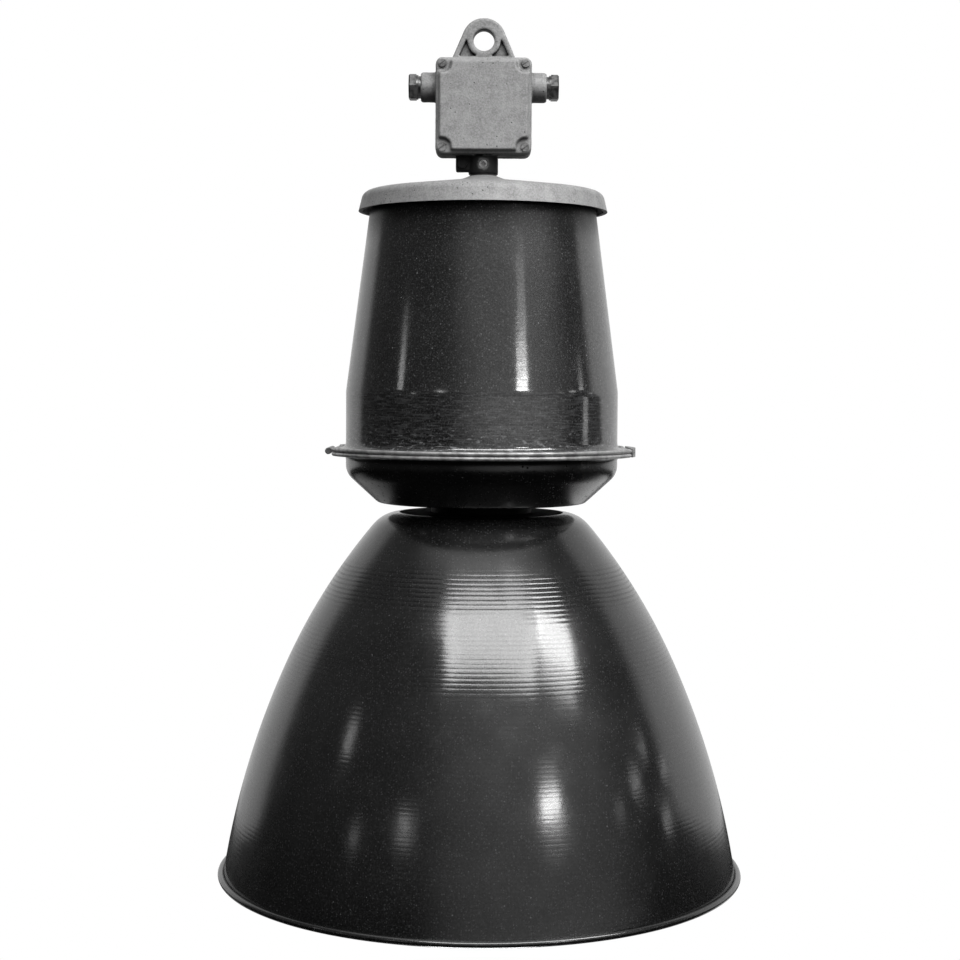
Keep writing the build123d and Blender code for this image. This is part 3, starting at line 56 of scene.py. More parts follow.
# Flanged joint between housing and pan, its edges rolled and its two ends cut straight
DRUM_R = 124.0
FLANGE_TOP = -368.4
FLANGE_FOOT = -373.6
FLANGE_R = 140.5
FLANGE_ROOT_R = 129.0
FLANGE_CHORD = 134.0
FLANGE_SUNK = 0.04
HEM_R = 1.85
HEM_MIDDLE_R = FLANGE_R - HEM_R
HEM_SHEET_R = 136.9
HEM_START = 161.1

# Shares of the angle at a straight end's corner: where meridians come from and go to, and how far it is flat
CORNER_MERIDIANS = ((0.95, 1.0), (1.06, 1.02))
STRAIGHT_SHARE = 1.01

# Gear housing and lower pan
HOUSING_TOP = -148.0
HOUSING_CORNERS = (
    (78.0, HOUSING_TOP),
    (101.9, HOUSING_TOP),
    (DRUM_R, -317.0),
    (DRUM_R, FLANGE_TOP),
    (HEM_SHEET_R, FLANGE_TOP),
)
HOUSING_RADII = (3.0, 40.0, 5.0)
PAN_FLOOR = -418.0
PAN_CORNERS = (
    (HEM_SHEET_R, FLANGE_FOOT),
    (DRUM_R, FLANGE_FOOT),
    (DRUM_R, -391.2),
    (94.8, PAN_FLOOR),
    (37.0, PAN_FLOOR),
)
PAN_RADII = (5.0, 17.0, 4.0)

# Shade
SHADE_TOP = -427.0
SHADE_HOLE = (36.5, SHADE_TOP)
SHADE_FLAT_END = (75.0, SHADE_TOP)
SHADE_SHOULDER = (98.8, -438.4)
SHADE_MIDDLE = (176.0, -560.6)
RIM_HEIGHT = -756.0
SHADE_RIM = (234.8, RIM_HEIGHT)
SHOULDER_R = 30.5
UPPER_BELL_R = 552.0
LOWER_BELL_R = 742.0
BEAD_CENTRE = (237.0, RIM_HEIGHT)
BEAD_R = 3.0
BEAD_START = 150.0
BEAD_END = -175.0

# Marks left by spinning the sheet, in millimetres, with the share of their depth left outside the zone
SHADE_GROOVE_PITCH = 4.4
SHADE_GROOVE_DEPTH = 0.02
SHADE_GROOVES_START = (-455.0, -490.0)
SHADE_GROOVES_END = (-600.0, -550.0)
SHADE_DEPTH_LEFT = 0.12
SHADE_TOP_SMOOTH = (60.0, 85.0)
SHADE_RIM_SMOOTH = (0.0, 8.0)
DRUM_GROOVE_PITCH = 2.8
DRUM_GROOVE_DEPTH = 0.008
DRUM_GROOVES_START = (-300.0, -320.0)
DRUM_DEPTH_LEFT = 0.25
DRUM_TOP_SMOOTH = (30.0, 45.0)
DRUM_FLANGE_SMOOTH = (24.0, 32.0)
GROOVE_SWELL = 17.0
GROOVE_DRIFT = 29.0
SECOND_GROOVE_SHARE = 0.45
SECOND_GROOVE_RATIO = 0.617

# Scale of the wave that draws the shade's tool lines, one every 3.7 mm
LINES_SCALE = 86.0

# Marks in the finishes, as the two heights in metres between which each comes in or fades out
STRONG_LINES_TOP = (-0.466, -0.478)
STRONG_LINES_FOOT = (-0.507, -0.497)
FAINT_LINES_TOP = (-0.513, -0.525)
FAINT_LINES_FOOT = (-0.575, -0.555)
# Heights over which the housing's coat fades out under the lid: painted shade
LID_SHADE_EDGE = (-0.19, -0.157)
SCUFF_EDGE = (-0.34, -0.367)
RUBBED_EDGE = (-0.312, -0.32)
# Heights of a band of painted shade on the casting's neck under the box
NECK_SHADE_TOP = (-0.1045, -0.1025)
NECK_SHADE_FOOT = (-0.1212, -0.1208)

# Castings: the place of the set screw's socket in metres, and the skin's measures in millimetres
SOCKET_PLACE = (0.0, -0.013, -0.1115)
CAST_VOXEL = 0.8
CAST_ROUGHNESS = 0.12
LUMP = 6.0
FINE_LUMP = 2.2
FINE_LUMP_SHARE = 0.4
CAST_SWELL = 0.45
WELD_DISTANCE = 0.001

# Studio lamps in metres, with radiance at the lamp's face
DOWN = (0.0, 0.0, -1.0)
UP = (0.0, 0.0, 1.0)
SIDEWAYS = (1.0, 0.0, 0.0)
SLANTED = (1.0, 0.14, 0.0)
SIDE_FACING = (-0.729, 0.34, -0.595)
SIDE_ACROSS = (0.3805, 0.37, -0.373)
SOFTBOXES = (
    # name, place, facing, across, width, height, radiance
    ("ceiling_softbox", (0.4, -2.28, 2.1), DOWN, SIDEWAYS, 3.15, 1.44, 7.9),
    ("ceiling_near", (1.2, -1.41, 2.1), DOWN, SLANTED, 0.95, 0.3, 6.0),
    ("ceiling_left", (-0.95, -2.25, 2.09), DOWN, SIDEWAYS, 0.45, 1.5, 1.4),
    ("ceiling_right", (1.75, -2.25, 2.09), DOWN, SIDEWAYS, 0.45, 1.5, 1.4),
    ("side_softbox", (1.485, -0.973, 1.018), SIDE_FACING, SIDE_ACROSS, 0.74, 0.5, 14.0),
    ("side_softbox_low", (1.5, -1.29, 0.82), SIDE_FACING, SIDE_ACROSS, 0.65, 0.22, 6.0),
    ("mouth_softbox", (0.0, 0.0, -1.75), UP, SIDEWAYS, 0.4, 0.4, 18.0),
)
WINDOWS = (
    # name, azimuth in degrees, distance, lower end, upper end, width, radiance
    ("left_window", -70.3, 1.75, -0.05, 0.1, 0.15, 2.3),
    ("left_window_top", -70.3, 1.75, 0.1, 0.16, 0.15, 1.1),
    ("front_window", 33.3, 3.0, 0.22, 0.42, 0.5, 19.0),
    ("front_window_middle", 33.5, 3.0, 0.42, 0.54, 0.46, 5.0),
    ("front_window_top", 35.0, 3.0, 0.54, 0.74, 0.4, 1.1),
    ("right_window", 90.3, 3.0, 0.14, 0.22, 0.26, 3.0),
    ("front_left_window", -34.2, 3.0, 0.03, 0.19, 0.26, 3.0),
    ("front_left_halo", -33.2, 3.01, 0.0, 0.3, 0.6, 0.45),
    ("low_left_window", -57.4, 3.0, -0.18, -0.08, 0.18, 2.6),
    ("low_right_window", 80.2, 3.0, 0.0, 0.13, 0.3, 2.8),
    ("far_right_window", 100.7, 3.0, -0.2, -0.11, 0.3, 1.5),
    ("lowest_right_window", 94.5, 3.0, -0.46, -0.33, 0.3, 2.0),
    ("near_right_window", 67.6, 3.0, -0.09, 0.06, 0.26, 0.8),
)

# Directions in the studio's surroundings
GLOW_WAY = (0.434, -0.852, 0.292)
BACKDROP_WAY = (0.15, 1.0, 0.0)
BACKDROP_SLOPE = (0.0, 0.37, 1.0)
BACKDROP_END = 0.162

# Floor and camera, in metres, degrees and millimetres of lens
FLOOR_HEIGHT = -2.6
FLOOR_R = 3.5
FLOOR_FADE = (1.4, 3.3)
CAMERA_PLACE = (-0.0018, -1.6486, -0.3114)
CAMERA_TILT = 87.0
CAMERA_ROLL = -0.33
CAMERA_LENS = 67.5
CAMERA_SENSOR = 36.0


class Nodes:
    """Builds shader nodes in one tree. A value may be a number, a colour or another node's socket."""

    def __init__(self, tree):
        self.tree = tree

    def make(self, kind, inputs=None, **settings):
        node = self.tree.nodes.new(kind)
        for name, value in settings.items():
            setattr(node, name, value)
        for name, value in (inputs or {}).items():
            self.feed(node.inputs[name], value)
        return node

    def feed(self, socket, value):
        if isinstance(value, bpy.types.NodeSocket):
            self.tree.links.new(value, socket)
        else:
            socket.default_value = value

    def math(self, operation, first, second):
        return self.make("ShaderNodeMath", {0: first, 1: second}, operation=operation).outputs[0]

    def ramp(self, value, low, high, bottom=0.0, top=1.0):
        """A smooth step from bottom at low to top at high."""
        inputs = {"Value": value, "From Min": low, "From Max": high, "To Min": bottom, "To Max": top}
        return self.make("ShaderNodeMapRange", inputs, interpolation_type="SMOOTHSTEP").outputs["Result"]

    def blend(self, share, first, second):
        inputs = {"Factor": share, 6: first, 7: second}
        return self.make("ShaderNodeMix", inputs, data_type="RGBA").outputs[2]

    def dot(self, vector, direction):
        node = self.make("ShaderNodeVectorMath", {0: vector, 1: direction}, operation="DOT_PRODUCT")
        return node.outputs["Value"]


class Finish(Nodes):
    """A material with a principled shader, with textures laid out in the frame's own metres."""

    def __init__(self, name):
        self.material = bpy.data.materials.new(name)
        self.material.use_nodes = True
        super().__init__(self.material.node_tree)
        self.shader = self.tree.nodes["Principled BSDF"]
        self.place = self.make("ShaderNodeTexCoord").outputs["Object"]
        self.normal = None

    def set(self, **sockets):
        for name, value in sockets.items():
            self.feed(self.shader.inputs[name.replace("_", " ")], value)

    def noise(self, size, detail=2.0, stretch=(1.0, 1.0, 1.0)):
        """Smooth noise from 0 to 1 with blotches of about size millimetres."""
        place = self.place
        if stretch != (1.0, 1.0, 1.0):
            place = self.make("ShaderNodeMapping", {"Vector": place, "Scale": stretch}).outputs["Vector"]
        inputs = {"Vector": place, "Scale": 1.0 / (size * MM), "Detail": detail}
        return self.make("ShaderNodeTexNoise", inputs).outputs["Fac"]

    def specks(self, pitch, reach):
        """Small round dots, one to a cell of pitch millimetres, as (mask, chance of each cell)."""
        inputs = {"Vector": self.place, "Scale": 1.0 / (pitch * MM)}
        cells = self.make("ShaderNodeTexVoronoi", inputs)
        mask = self.ramp(cells.outputs["Distance"], reach, reach * 0.5)
        chance = self.make("ShaderNodeSeparateColor", {"Color": cells.outputs["Color"]}).outputs[0]
        return mask, chance

    def bump(self, height, depth):
        """Relief of the given depth in millimetres, on top of what is there already."""
        inputs = {"Height": height, "Distance": depth * MM, "Strength": 1.0}
        if self.normal is not None:
            inputs["Normal"] = self.normal
        self.normal = self.make("ShaderNodeBump", inputs).outputs["Normal"]
        self.feed(self.shader.inputs["Normal"], self.normal)

    def axis(self, letter):
        return self.make("ShaderNodeSeparateXYZ", {"Vector": self.place}).outputs[letter]


def grey(value):
    return (value, value, value, 1.0)


def enamel_finish(name, speckle, haze, coat, gloss=0.1, mottle=0.82, lined=False, worn_and_shaded=False, pitted=0.0):
    """Black vitreous enamel: a glossy coat over a hazy ground, mottled, with pale specks and dull patches.

    lined adds the shade's tool lines, worn_and_shaded the housing's wear and a painted shade under its lid,
    and pitted the pan's pits, by their depth in millimetres.
    """
    look = Finish(name)
    fine, fine_chance = look.specks(2.0, 0.42)
    coarse, coarse_chance = look.specks(7.0, 0.12)
    fine_glow = look.math("MULTIPLY", fine, look.ramp(fine_chance, 0.35, 1.0, 0.0, speckle))
    coarse_glow = look.math("MULTIPLY", coarse, look.ramp(coarse_chance, 0.5, 1.0, 0.0, speckle * 3.0))
    grain = look.ramp(look.noise(1.3, 2.0), 0.42, 0.72, 0.0, speckle * 0.45)
    glow = look.math("ADD", look.math("MAXIMUM", fine_glow, coarse_glow), grain)
    dull = look.noise(38.0, 4.0)
    mottled = look.ramp(look.noise(1.4, 2.5), 0.32, 0.68, mottle, 0.96)
    shine = look.math("MULTIPLY", mottled, look.ramp(dull, 0.3, 0.7, 0.88, 1.0))
    look.bump(look.noise(1.6, 2.0), 0.012)
    look.bump(look.noise(9.0, 1.0), 0.04)
    if lined:
        inputs = {"Vector": look.place, "Scale": LINES_SCALE, "Distortion": 0.6}
        inputs.update({"Detail": 1.0, "Detail Scale": 0.3})
        wave = look.make("ShaderNodeTexWave", inputs, bands_direction="Z").outputs["Fac"]
        height = look.axis("Z")
        strong_foot = look.ramp(height, *STRONG_LINES_FOOT, 0.12, 1.0)
        strong = look.math("MULTIPLY", strong_foot, look.ramp(height, *STRONG_LINES_TOP))
        faint_top = look.ramp(height, *FAINT_LINES_TOP, 0.0, 0.27)
        faint = look.math("MULTIPLY", faint_top, look.ramp(height, *FAINT_LINES_FOOT))
        broken = look.ramp(look.noise(30.0, 3.0, (1.0, 1.0, 6.0)), 0.3, 0.6, 0.5, 1.0)
        zones = look.math("MULTIPLY", look.math("ADD", strong, faint), broken)
        lines = look.math("MULTIPLY", look.ramp(wave, 0.3, 1.0), zones)
        look.bump(look.math("SUBTRACT", 1.0, lines), 0.075)
        shine = look.math("MULTIPLY", shine, look.math("SUBTRACT", 1.0, look.math("MULTIPLY", lines, 0.3)))
    if worn_and_shaded:
        # Painted shade under the lid: the coat fades out towards the top of the housing and darkens its
        # reflections there; the scuffs and rubbed marks are wear
        shine = look.math("MULTIPLY", shine, look.ramp(look.axis("Z"), *LID_SHADE_EDGE, 1.0, 0.04))
        scuffs = look.ramp(look.noise(5.0, 6.0, (1.0, 1.0, 2.0)), 0.55, 0.72, 0.0, 0.2)
        glow = look.math("ADD", glow, look.math("MULTIPLY", scuffs, look.ramp(look.axis("Z"), *SCUFF_EDGE)))
        rubbed = look.ramp(look.noise(12.0, 4.0, (1.0, 1.0, 10.0)), 0.42, 0.75, 0.0, 0.05)
        glow = look.math("ADD", glow, look.math("MULTIPLY", rubbed, look.ramp(look.axis("Z"), *RUBBED_EDGE)))
    if pitted:
        pits, chance = look.specks(5.0, 0.2)
        deep = look.math("MULTIPLY", pits, look.ramp(chance, 0.35, 0.6))
        look.bump(look.math("SUBTRACT", 1.0, deep), pitted)
        shine = look.math("MULTIPLY", shine, look.math("SUBTRACT", 1.0, deep))
    look.set(Base_Color=look.blend(glow, grey(0.0015), (0.86, 0.87, 0.89, 1.0)))
    look.set(Roughness=look.ramp(dull, 0.35, 0.75, 0.36, 0.48))
    look.set(IOR=haze)
    look.set(Coat_IOR=coat)
    look.set(Coat_Roughness=look.ramp(dull, 0.35, 0.75, gloss * 0.8, gloss * 1.3))
    look.set(Coat_Weight=shine)
    look.set(Coat_Normal=look.normal)
    return look.material


def white_enamel_finish():
    """White enamel inside the shade, stained in soft patches."""
    look = Finish("white_enamel")
    stain = look.noise(55.0, 5.0)
    look.set(Base_Color=look.blend(look.ramp(stain, 0.45, 0.8), grey(0.8), (0.66, 0.64, 0.58, 1.0)))
    look.set(Roughness=look.ramp(look.noise(20.0, 3.0), 0.3, 0.8, 0.12, 0.25))
    look.bump(look.noise(2.2, 2.0), 0.05)
    return look.material


def cast_finish():
    """Sand cast aluminium, weathered matt grey, with small pits, and painted shade in its corners, on faces
    turned downward and on its neck.
    """
    look = Finish("cast_aluminium")
    blotch = look.ramp(look.noise(11.0, 5.0), 0.3, 0.72)
    grain = look.ramp(look.noise(1.5, 3.0), 0.32, 0.68)
    tone = look.blend(blotch, grey(0.21), grey(0.29))
    tone = look.blend(look.math("MULTIPLY", grain, 0.6), tone, grey(0.39))
    pits, chance = look.specks(4.2, 0.2)
    deep = look.math("MULTIPLY", pits, look.ramp(chance, 0.6, 0.8))
    tone = look.blend(deep, tone, grey(0.07))
    # Painted shade on the neck under the box: near black, a little thinner round the set screw's socket
    neck = look.ramp(look.axis("Z"), *NECK_SHADE_TOP, 0.98, 0.0)
    neck = look.math("MULTIPLY", neck, look.ramp(look.axis("Z"), *NECK_SHADE_FOOT))
    socket = look.make("ShaderNodeVectorMath", {0: look.place, 1: SOCKET_PLACE}, operation="DISTANCE")
    uneven = look.math("MULTIPLY", look.noise(3.0, 3.0), 0.004)
    rubbed = look.ramp(look.math("ADD", socket.outputs["Value"], uneven), 0.0055, 0.009)
    neck_painted_shade = look.math("MULTIPLY", neck, look.ramp(rubbed, 0.0, 1.0, 0.75, 1.0))
    tone = look.blend(neck_painted_shade, tone, grey(0.008))
    # Painted shade: near black in crevices found by ambient occlusion and on faces turned downward, with
    # less sheen there and on the neck
    open_share = look.make("ShaderNodeAmbientOcclusion", {"Distance": 0.009}, samples=6).outputs["AO"]
    outwards = look.make("ShaderNodeNewGeometry").outputs["Normal"]
    upwards = look.make("ShaderNodeSeparateXYZ", {"Vector": outwards}).outputs["Z"]
    lit_share = look.math("MULTIPLY", look.ramp(open_share, 0.3, 0.85), look.ramp(upwards, -0.95, 0.1, 0.2, 1.0))
    tone = look.blend(lit_share, grey(0.01), tone)
    look.set(Base_Color=tone)
    look.set(Specular_IOR_Level=look.ramp(look.math("SUBTRACT", lit_share, neck_painted_shade), 0.0, 1.0, 0.08, 0.5))
    look.set(Metallic=0.15)
    look.set(Roughness=look.ramp(blotch, 0.0, 1.0, 0.62, 0.5))
    look.bump(look.noise(1.0, 3.0), 0.16)
    look.bump(look.noise(5.0, 2.0), 0.25)
    look.bump(look.math("SUBTRACT", 1.0, deep), 0.25)
    return look.material


def metal_finish(name, tone, stain, roughness, metallic=1.0, grain=2.0):
    """Plain metal with stains of a second tone, uneven gloss and fine relief."""
    look = Finish(name)
    spots = look.ramp(look.noise(grain * 2.5, 5.0), 0.38, 0.68)
    look.set(Base_Color=look.blend(spots, tone, stain))
    look.set(Metallic=metallic)
    look.set(Roughness=look.ramp(look.noise(grain, 3.0), 0.3, 0.75, roughness * 0.75, roughness * 1.25))
    look.bump(look.noise(grain * 0.4, 2.0), 0.03)
    return look.material


def matt_finish(name, tone, stain, roughness, sheen=0.5):
    """Matt surface with faint blotches and a fine grain."""
    look = Finish(name)
    spots = look.ramp(look.noise(9.0, 4.0), 0.35, 0.7)
    look.set(Base_Color=look.blend(spots, tone, stain))
    look.set(Roughness=look.ramp(look.noise(4.5, 3.0), 0.3, 0.75, roughness * 0.85, roughness * 1.1))
    look.set(Specular_IOR_Level=sheen)
    look.bump(look.noise(1.5, 3.0), 0.05)
    return look.material


def lamination_finish():
    """Stacked steel sheets, seen at their edges."""
    look = Finish("lamination_steel")
    inputs = {"Vector": look.place, "Scale": 300.0, "Distortion": 0.4}
    sheets = look.make("ShaderNodeTexWave", inputs, bands_direction="Z").outputs["Fac"]
    look.set(Base_Color=look.blend(sheets, grey(0.05), (0.16, 0.15, 0.14, 1.0)))
    look.set(Metallic=0.6)
    look.set(Roughness=look.ramp(look.noise(4.0), 0.3, 0.7, 0.35, 0.55))
    look.bump(sheets, 0.15)
    return look.material


def winding_finish():
    """Varnished copper wire, wound in even turns."""
    look = Finish("coil_winding")
    inputs = {"Vector": look.place, "Scale": 190.0, "Distortion": 1.0}
    turns = look.make("ShaderNodeTexWave", inputs, bands_direction="X").outputs["Fac"]
    look.set(Base_Color=look.blend(turns, (0.12, 0.035, 0.012, 1.0), (0.42, 0.15, 0.05, 1.0)))
    look.set(Roughness=look.ramp(look.noise(5.0), 0.3, 0.7, 0.3, 0.5))
    look.bump(turns, 0.3)
    return look.material


def opal_finish():
    """White opal glass, faintly cloudy."""
    look = Finish("opal_glass")
    cloud = look.noise(30.0, 3.0)
    look.set(Base_Color=look.blend(cloud, grey(0.78), (0.86, 0.86, 0.84, 1.0)))
    look.set(Roughness=look.ramp(cloud, 0.3, 0.7, 0.1, 0.2))
    look.bump(look.noise(12.0, 1.0), 0.05)
    return look.material


cast = cast_finish()
enamel = enamel_finish("black_enamel", speckle=0.06, haze=1.3, coat=2.0, mottle=0.6, worn_and_shaded=True)
shade_enamel = enamel_finish("shade_enamel", speckle=0.028, haze=1.2, coat=1.77, gloss=0.15, lined=True)
pan_enamel = enamel_finish("pan_enamel", speckle=0.025, haze=1.15, coat=1.83, gloss=0.22, pitted=0.35)
white_enamel = white_enamel_finish()
shade_top = matt_finish("shade_top", grey(0.004), grey(0.008), roughness=0.8, sheen=0.05)
# Near-black matt steel: painted shade for small parts that sit in shade
shade_painted_steel = matt_finish("shade_painted_steel", grey(0.006), grey(0.003), roughness=0.6, sheen=0.1)
flange_edge = metal_finish("flange_edge", grey(0.42), grey(0.22), roughness=0.4, metallic=0.45, grain=3.0)
finishes = {
    "cast_aluminium": cast,
    "black_enamel": enamel,
    "zinc_steel": metal_finish("zinc_steel", grey(0.34), grey(0.16), roughness=0.42),
    "worn_steel": metal_finish("worn_steel", grey(0.3), grey(0.1), roughness=0.4, metallic=0.7),
    "tarnished_brass": metal_finish("tarnished_brass", grey(0.16), grey(0.05), roughness=0.4, metallic=0.8),
    "brass": metal_finish("brass", (0.62, 0.45, 0.17, 1.0), (0.36, 0.25, 0.1, 1.0), roughness=0.28),
    "black_rubber": matt_finish("black_rubber", grey(0.012), grey(0.03), roughness=0.7),
    "porcelain": matt_finish("porcelain", (0.8, 0.79, 0.75, 1.0), (0.7, 0.68, 0.62, 1.0), roughness=0.2),
    "bakelite": matt_finish("bakelite", (0.03, 0.022, 0.018, 1.0), (0.06, 0.045, 0.035, 1.0), roughness=0.4),
    "lamination_steel": lamination_finish(),
    "coil_winding": winding_finish(),
    "aluminium_can": metal_finish("aluminium_can", grey(0.6), grey(0.42), roughness=0.3, grain=4.0),
    "opal_glass": opal_finish(),
}
# Painted shade: parts under the box's overhang and between the pan and the shade get the near-black matt
# steel in place of their own finish
SHADED_NODES = ("neck_clamp_bolt", "neck_clamp_nut", "neck_collar", "collar_bolts", "collar_nuts")
for row in frame["record"]["subparts"]:
    for slot in frame["nodes"][row["node"]].material_slots:
        slot.material = shade_painted_steel if row["node"] in SHADED_NODES else finishes[row["material_slot"]]


def corner_arc(before, corner, after, radius, count=48):
    """Points of the arc that rounds a corner of a profile."""
    back = (before - corner).normalized()
    ahead = (after - corner).normalized()
    half = back.angle(ahead) / 2
    centre = corner + (back + ahead).normalized() * (radius / math.sin(half))
    start = corner + back * (radius / math.tan(half)) - centre
    end = corner + ahead * (radius / math.tan(half)) - centre
    turn = start.angle_signed(end)
    return [centre + Matrix.Rotation(-turn * i / count, 2) @ start for i in range(count + 1)]


def rounded_path(corners, radii):
    """A profile through the corners, with each inner corner rounded."""
    points = [Vector(c) for c in corners]
    path = [points[0]]
    for i, radius in enumerate(radii, 1):
        path += corner_arc(points[i - 1], points[i], points[i + 1], radius)
    return path + [points[-1]]


def bulged_arc(start, end, radius, count=96):
    """Points of an arc from start down to end that bulges away from the lamp's axis, without its start."""
    start = Vector(start)
    end = Vector(end)
    chord = end - start
    inward = Vector((chord.y, -chord.x)).normalized()
    centre = (start + end) / 2 + inward * math.sqrt(radius**2 - chord.length_squared / 4)
    turn = (start - centre).angle_signed(end - centre)
    return [centre + Matrix.Rotation(-turn * i / count, 2) @ (start - centre) for i in range(1, count + 1)]


def evenly(path, step):
    """The same line as an array of points at an even spacing."""
    line = np.array([tuple(p) for p in path])
    along = np.concatenate([[0.0], np.cumsum(np.hypot(*np.diff(line, axis=0).T))])
    places = np.linspace(0.0, along[-1], int(along[-1] / step) + 1)
    return np.stack([np.interp(places, along, line[:, k]) for k in (0, 1)], axis=1)


def eased(line, passes):
    """The line with the sudden changes of its bend evened out, its ends kept."""
    line = line.copy()
    for _ in range(passes):
        line[1:-1] = (line[:-2] + 2 * line[1:-1] + line[2:]) / 4
    return line


def right_side(line):
    """Unit vectors to the right of the line's direction, which is the sheet's inner side."""
    ahead = np.gradient(line, axis=0)
    ahead /= np.linalg.norm(ahead, axis=1)[:, None]
    return np.stack([ahead[:, 1], -ahead[:, 0]], axis=1)


def cornered(angles, corner):
    """The same angles, with two moved to each corner of the flange's straight ends and just past it."""
    for middle in (0.0, math.pi, 2 * math.pi):
        for away in (-corner, corner):
            for source, target in CORNER_MERIDIANS:
                nearest = np.argmin(np.abs(angles - middle - source * away))
                angles[nearest] = (middle + target * away) % (2 * math.pi)
    return np.sort(angles)


def turned_piece(name, loop, finish_rows, finishes_used, ripple=None, cut=None):
    """A closed shell turned round the lamp's axis from a closed loop of (radius, height) points.

    With cut, the lower and upper height of its flange, the flange is cut straight and flat at both ends.
    """
    angles = np.linspace(0.0, 2 * math.pi, SEGMENTS, endpoint=False)
    corner = math.acos(FLANGE_CHORD / FLANGE_R)
    if cut:
        angles = cornered(angles, corner)
    radius = np.repeat(loop[:, :1], SEGMENTS, axis=1)
    height = np.repeat(loop[:, 1:], SEGMENTS, axis=1)
    if ripple is not None:
        shift, sideways = ripple
        wave = shift(angles)
        radius = radius + wave * sideways[:, :1]
        height = height + wave * sideways[:, 1:]
    if cut:
        sideways_share = np.abs(np.cos(angles))
        reach = FLANGE_CHORD / np.maximum(sideways_share, FLANGE_CHORD / FLANGE_R)
        share = np.clip((radius - FLANGE_ROOT_R) / (FLANGE_R - FLANGE_ROOT_R), 0.0, None)
        radius = np.where(share > 0, FLANGE_ROOT_R + share * (reach - FLANGE_ROOT_R), radius)
        straight = sideways_share > math.cos(corner * STRAIGHT_SHARE)
        height = np.where(straight & (share > 0), np.clip(height, *cut), height)
    points = np.stack([radius * np.cos(angles), radius * np.sin(angles), height], axis=2) * MM
    rows = len(loop)
    here = np.arange(rows * SEGMENTS).reshape(rows, SEGMENTS)
    across = np.roll(here, -1, axis=1)
    below = np.roll(here, -1, axis=0)
    faces = np.stack([here, below, np.roll(below, -1, axis=1), across], axis=2).reshape(-1, 4)
    mesh = bpy.data.meshes.new(name)
    mesh.from_pydata(points.reshape(-1, 3).tolist(), [], faces.tolist())
    for finish in finishes_used:
        mesh.materials.append(finish)
    mesh.polygons.foreach_set("material_index", np.repeat(finish_rows, SEGMENTS).astype(np.int32))
    mesh.shade_smooth()
    mesh.set_sharp_from_angle(angle=math.radians(SHARP_ANGLE))
    mesh.update()
    piece = bpy.data.objects.new(name, mesh)
    bpy.context.scene.collection.objects.link(piece)
    return piece


def grooves(along, angles, pitch, depth):
    """Spiral tool marks with an uneven depth, for points at a distance along the profile."""
    turn = along[:, None] / pitch * 2 * math.pi + angles[None, :]
    swell = 0.65 + 0.35 * np.sin(along[:, None] / GROOVE_SWELL + 0.6 * np.sin(angles)[None, :])
    drift = 2.0 * np.sin(along / GROOVE_DRIFT)[:, None]
    second = SECOND_GROOVE_SHARE * np.sin(turn * SECOND_GROOVE_RATIO + drift)
    return depth[:, None] * swell * (np.sin(turn) + second)


def fade(value, low, high):
    """A smooth step from 0 at low to 1 at high."""
    share = np.clip((value - low) / (high - low), 0.0, 1.0)
    return share * share * (3 - 2 * share)


def inner_line(outer):
    """The sheet's inner side, from its end back to its start, with fewer points."""
    inner = (outer + right_side(outer) * SHEET)[::-1]
    return np.concatenate([inner[:-1:INNER_SKIP], inner[-1:]])


def rolled_edge(centre, radius, start, end, count=40):
    """Points of a rolled edge, from one side of the sheet round to the other, with angles in degrees."""
    turn = np.radians(np.linspace(start, end, count))
    return np.stack([centre[0] + radius * np.cos(turn), centre[1] + radius * np.sin(turn)], axis=1)


def padded_rows(values, rows):
    """The values with rows of zeros after them."""
    out = np.zeros((rows,) + values.shape[1:])
    out[: len(values)] = values
    return out


# Shade: black outside, white inside, with a wired rim
bell = [Vector(SHADE_HOLE), Vector(SHADE_FLAT_END)]
bell += bulged_arc(SHADE_FLAT_END, SHADE_SHOULDER, SHOULDER_R)
bell += bulged_arc(SHADE_SHOULDER, SHADE_MIDDLE, UPPER_BELL_R)
bell += bulged_arc(SHADE_MIDDLE, SHADE_RIM, LOWER_BELL_R)
bell_line = eased(evenly(bell, OUTER_STEP), BELL_EASING)
bead = rolled_edge(BEAD_CENTRE, BEAD_R, BEAD_START, BEAD_END)
wall = bell_line[bell_line[:, 1] > bead[0, 1]]
shade_loop = np.concatenate([wall, bead, inner_line(wall)])
wall_rows = len(wall)
wall_along = np.arange(wall_rows) * OUTER_STEP
wall_zone = fade(wall[:, 1], *SHADE_GROOVES_START) * fade(wall[:, 1], *SHADE_GROOVES_END)
wall_depth = SHADE_GROOVE_DEPTH * (SHADE_DEPTH_LEFT + (1 - SHADE_DEPTH_LEFT) * wall_zone)
wall_depth *= fade(wall_along, *SHADE_TOP_SMOOTH) * fade(wall_along[::-1], *SHADE_RIM_SMOOTH)


def shade_wave(angles):
    return padded_rows(grooves(wall_along, angles, SHADE_GROOVE_PITCH, wall_depth), len(shade_loop))


shade_finish = np.full(len(shade_loop), 1)
shade_finish[: wall_rows + len(bead)] = 0
shade_finish[: np.count_nonzero(wall[:, 0] < SHADE_FLAT_END[0])] = 2
shade_side = padded_rows(-right_side(wall), len(shade_loop))
shade = turned_piece("enamel_shade", shade_loop, shade_finish, (shade_enamel, white_enamel, shade_top),
                     ripple=(shade_wave, shade_side))
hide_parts("shade")
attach(shade, "lower_section")

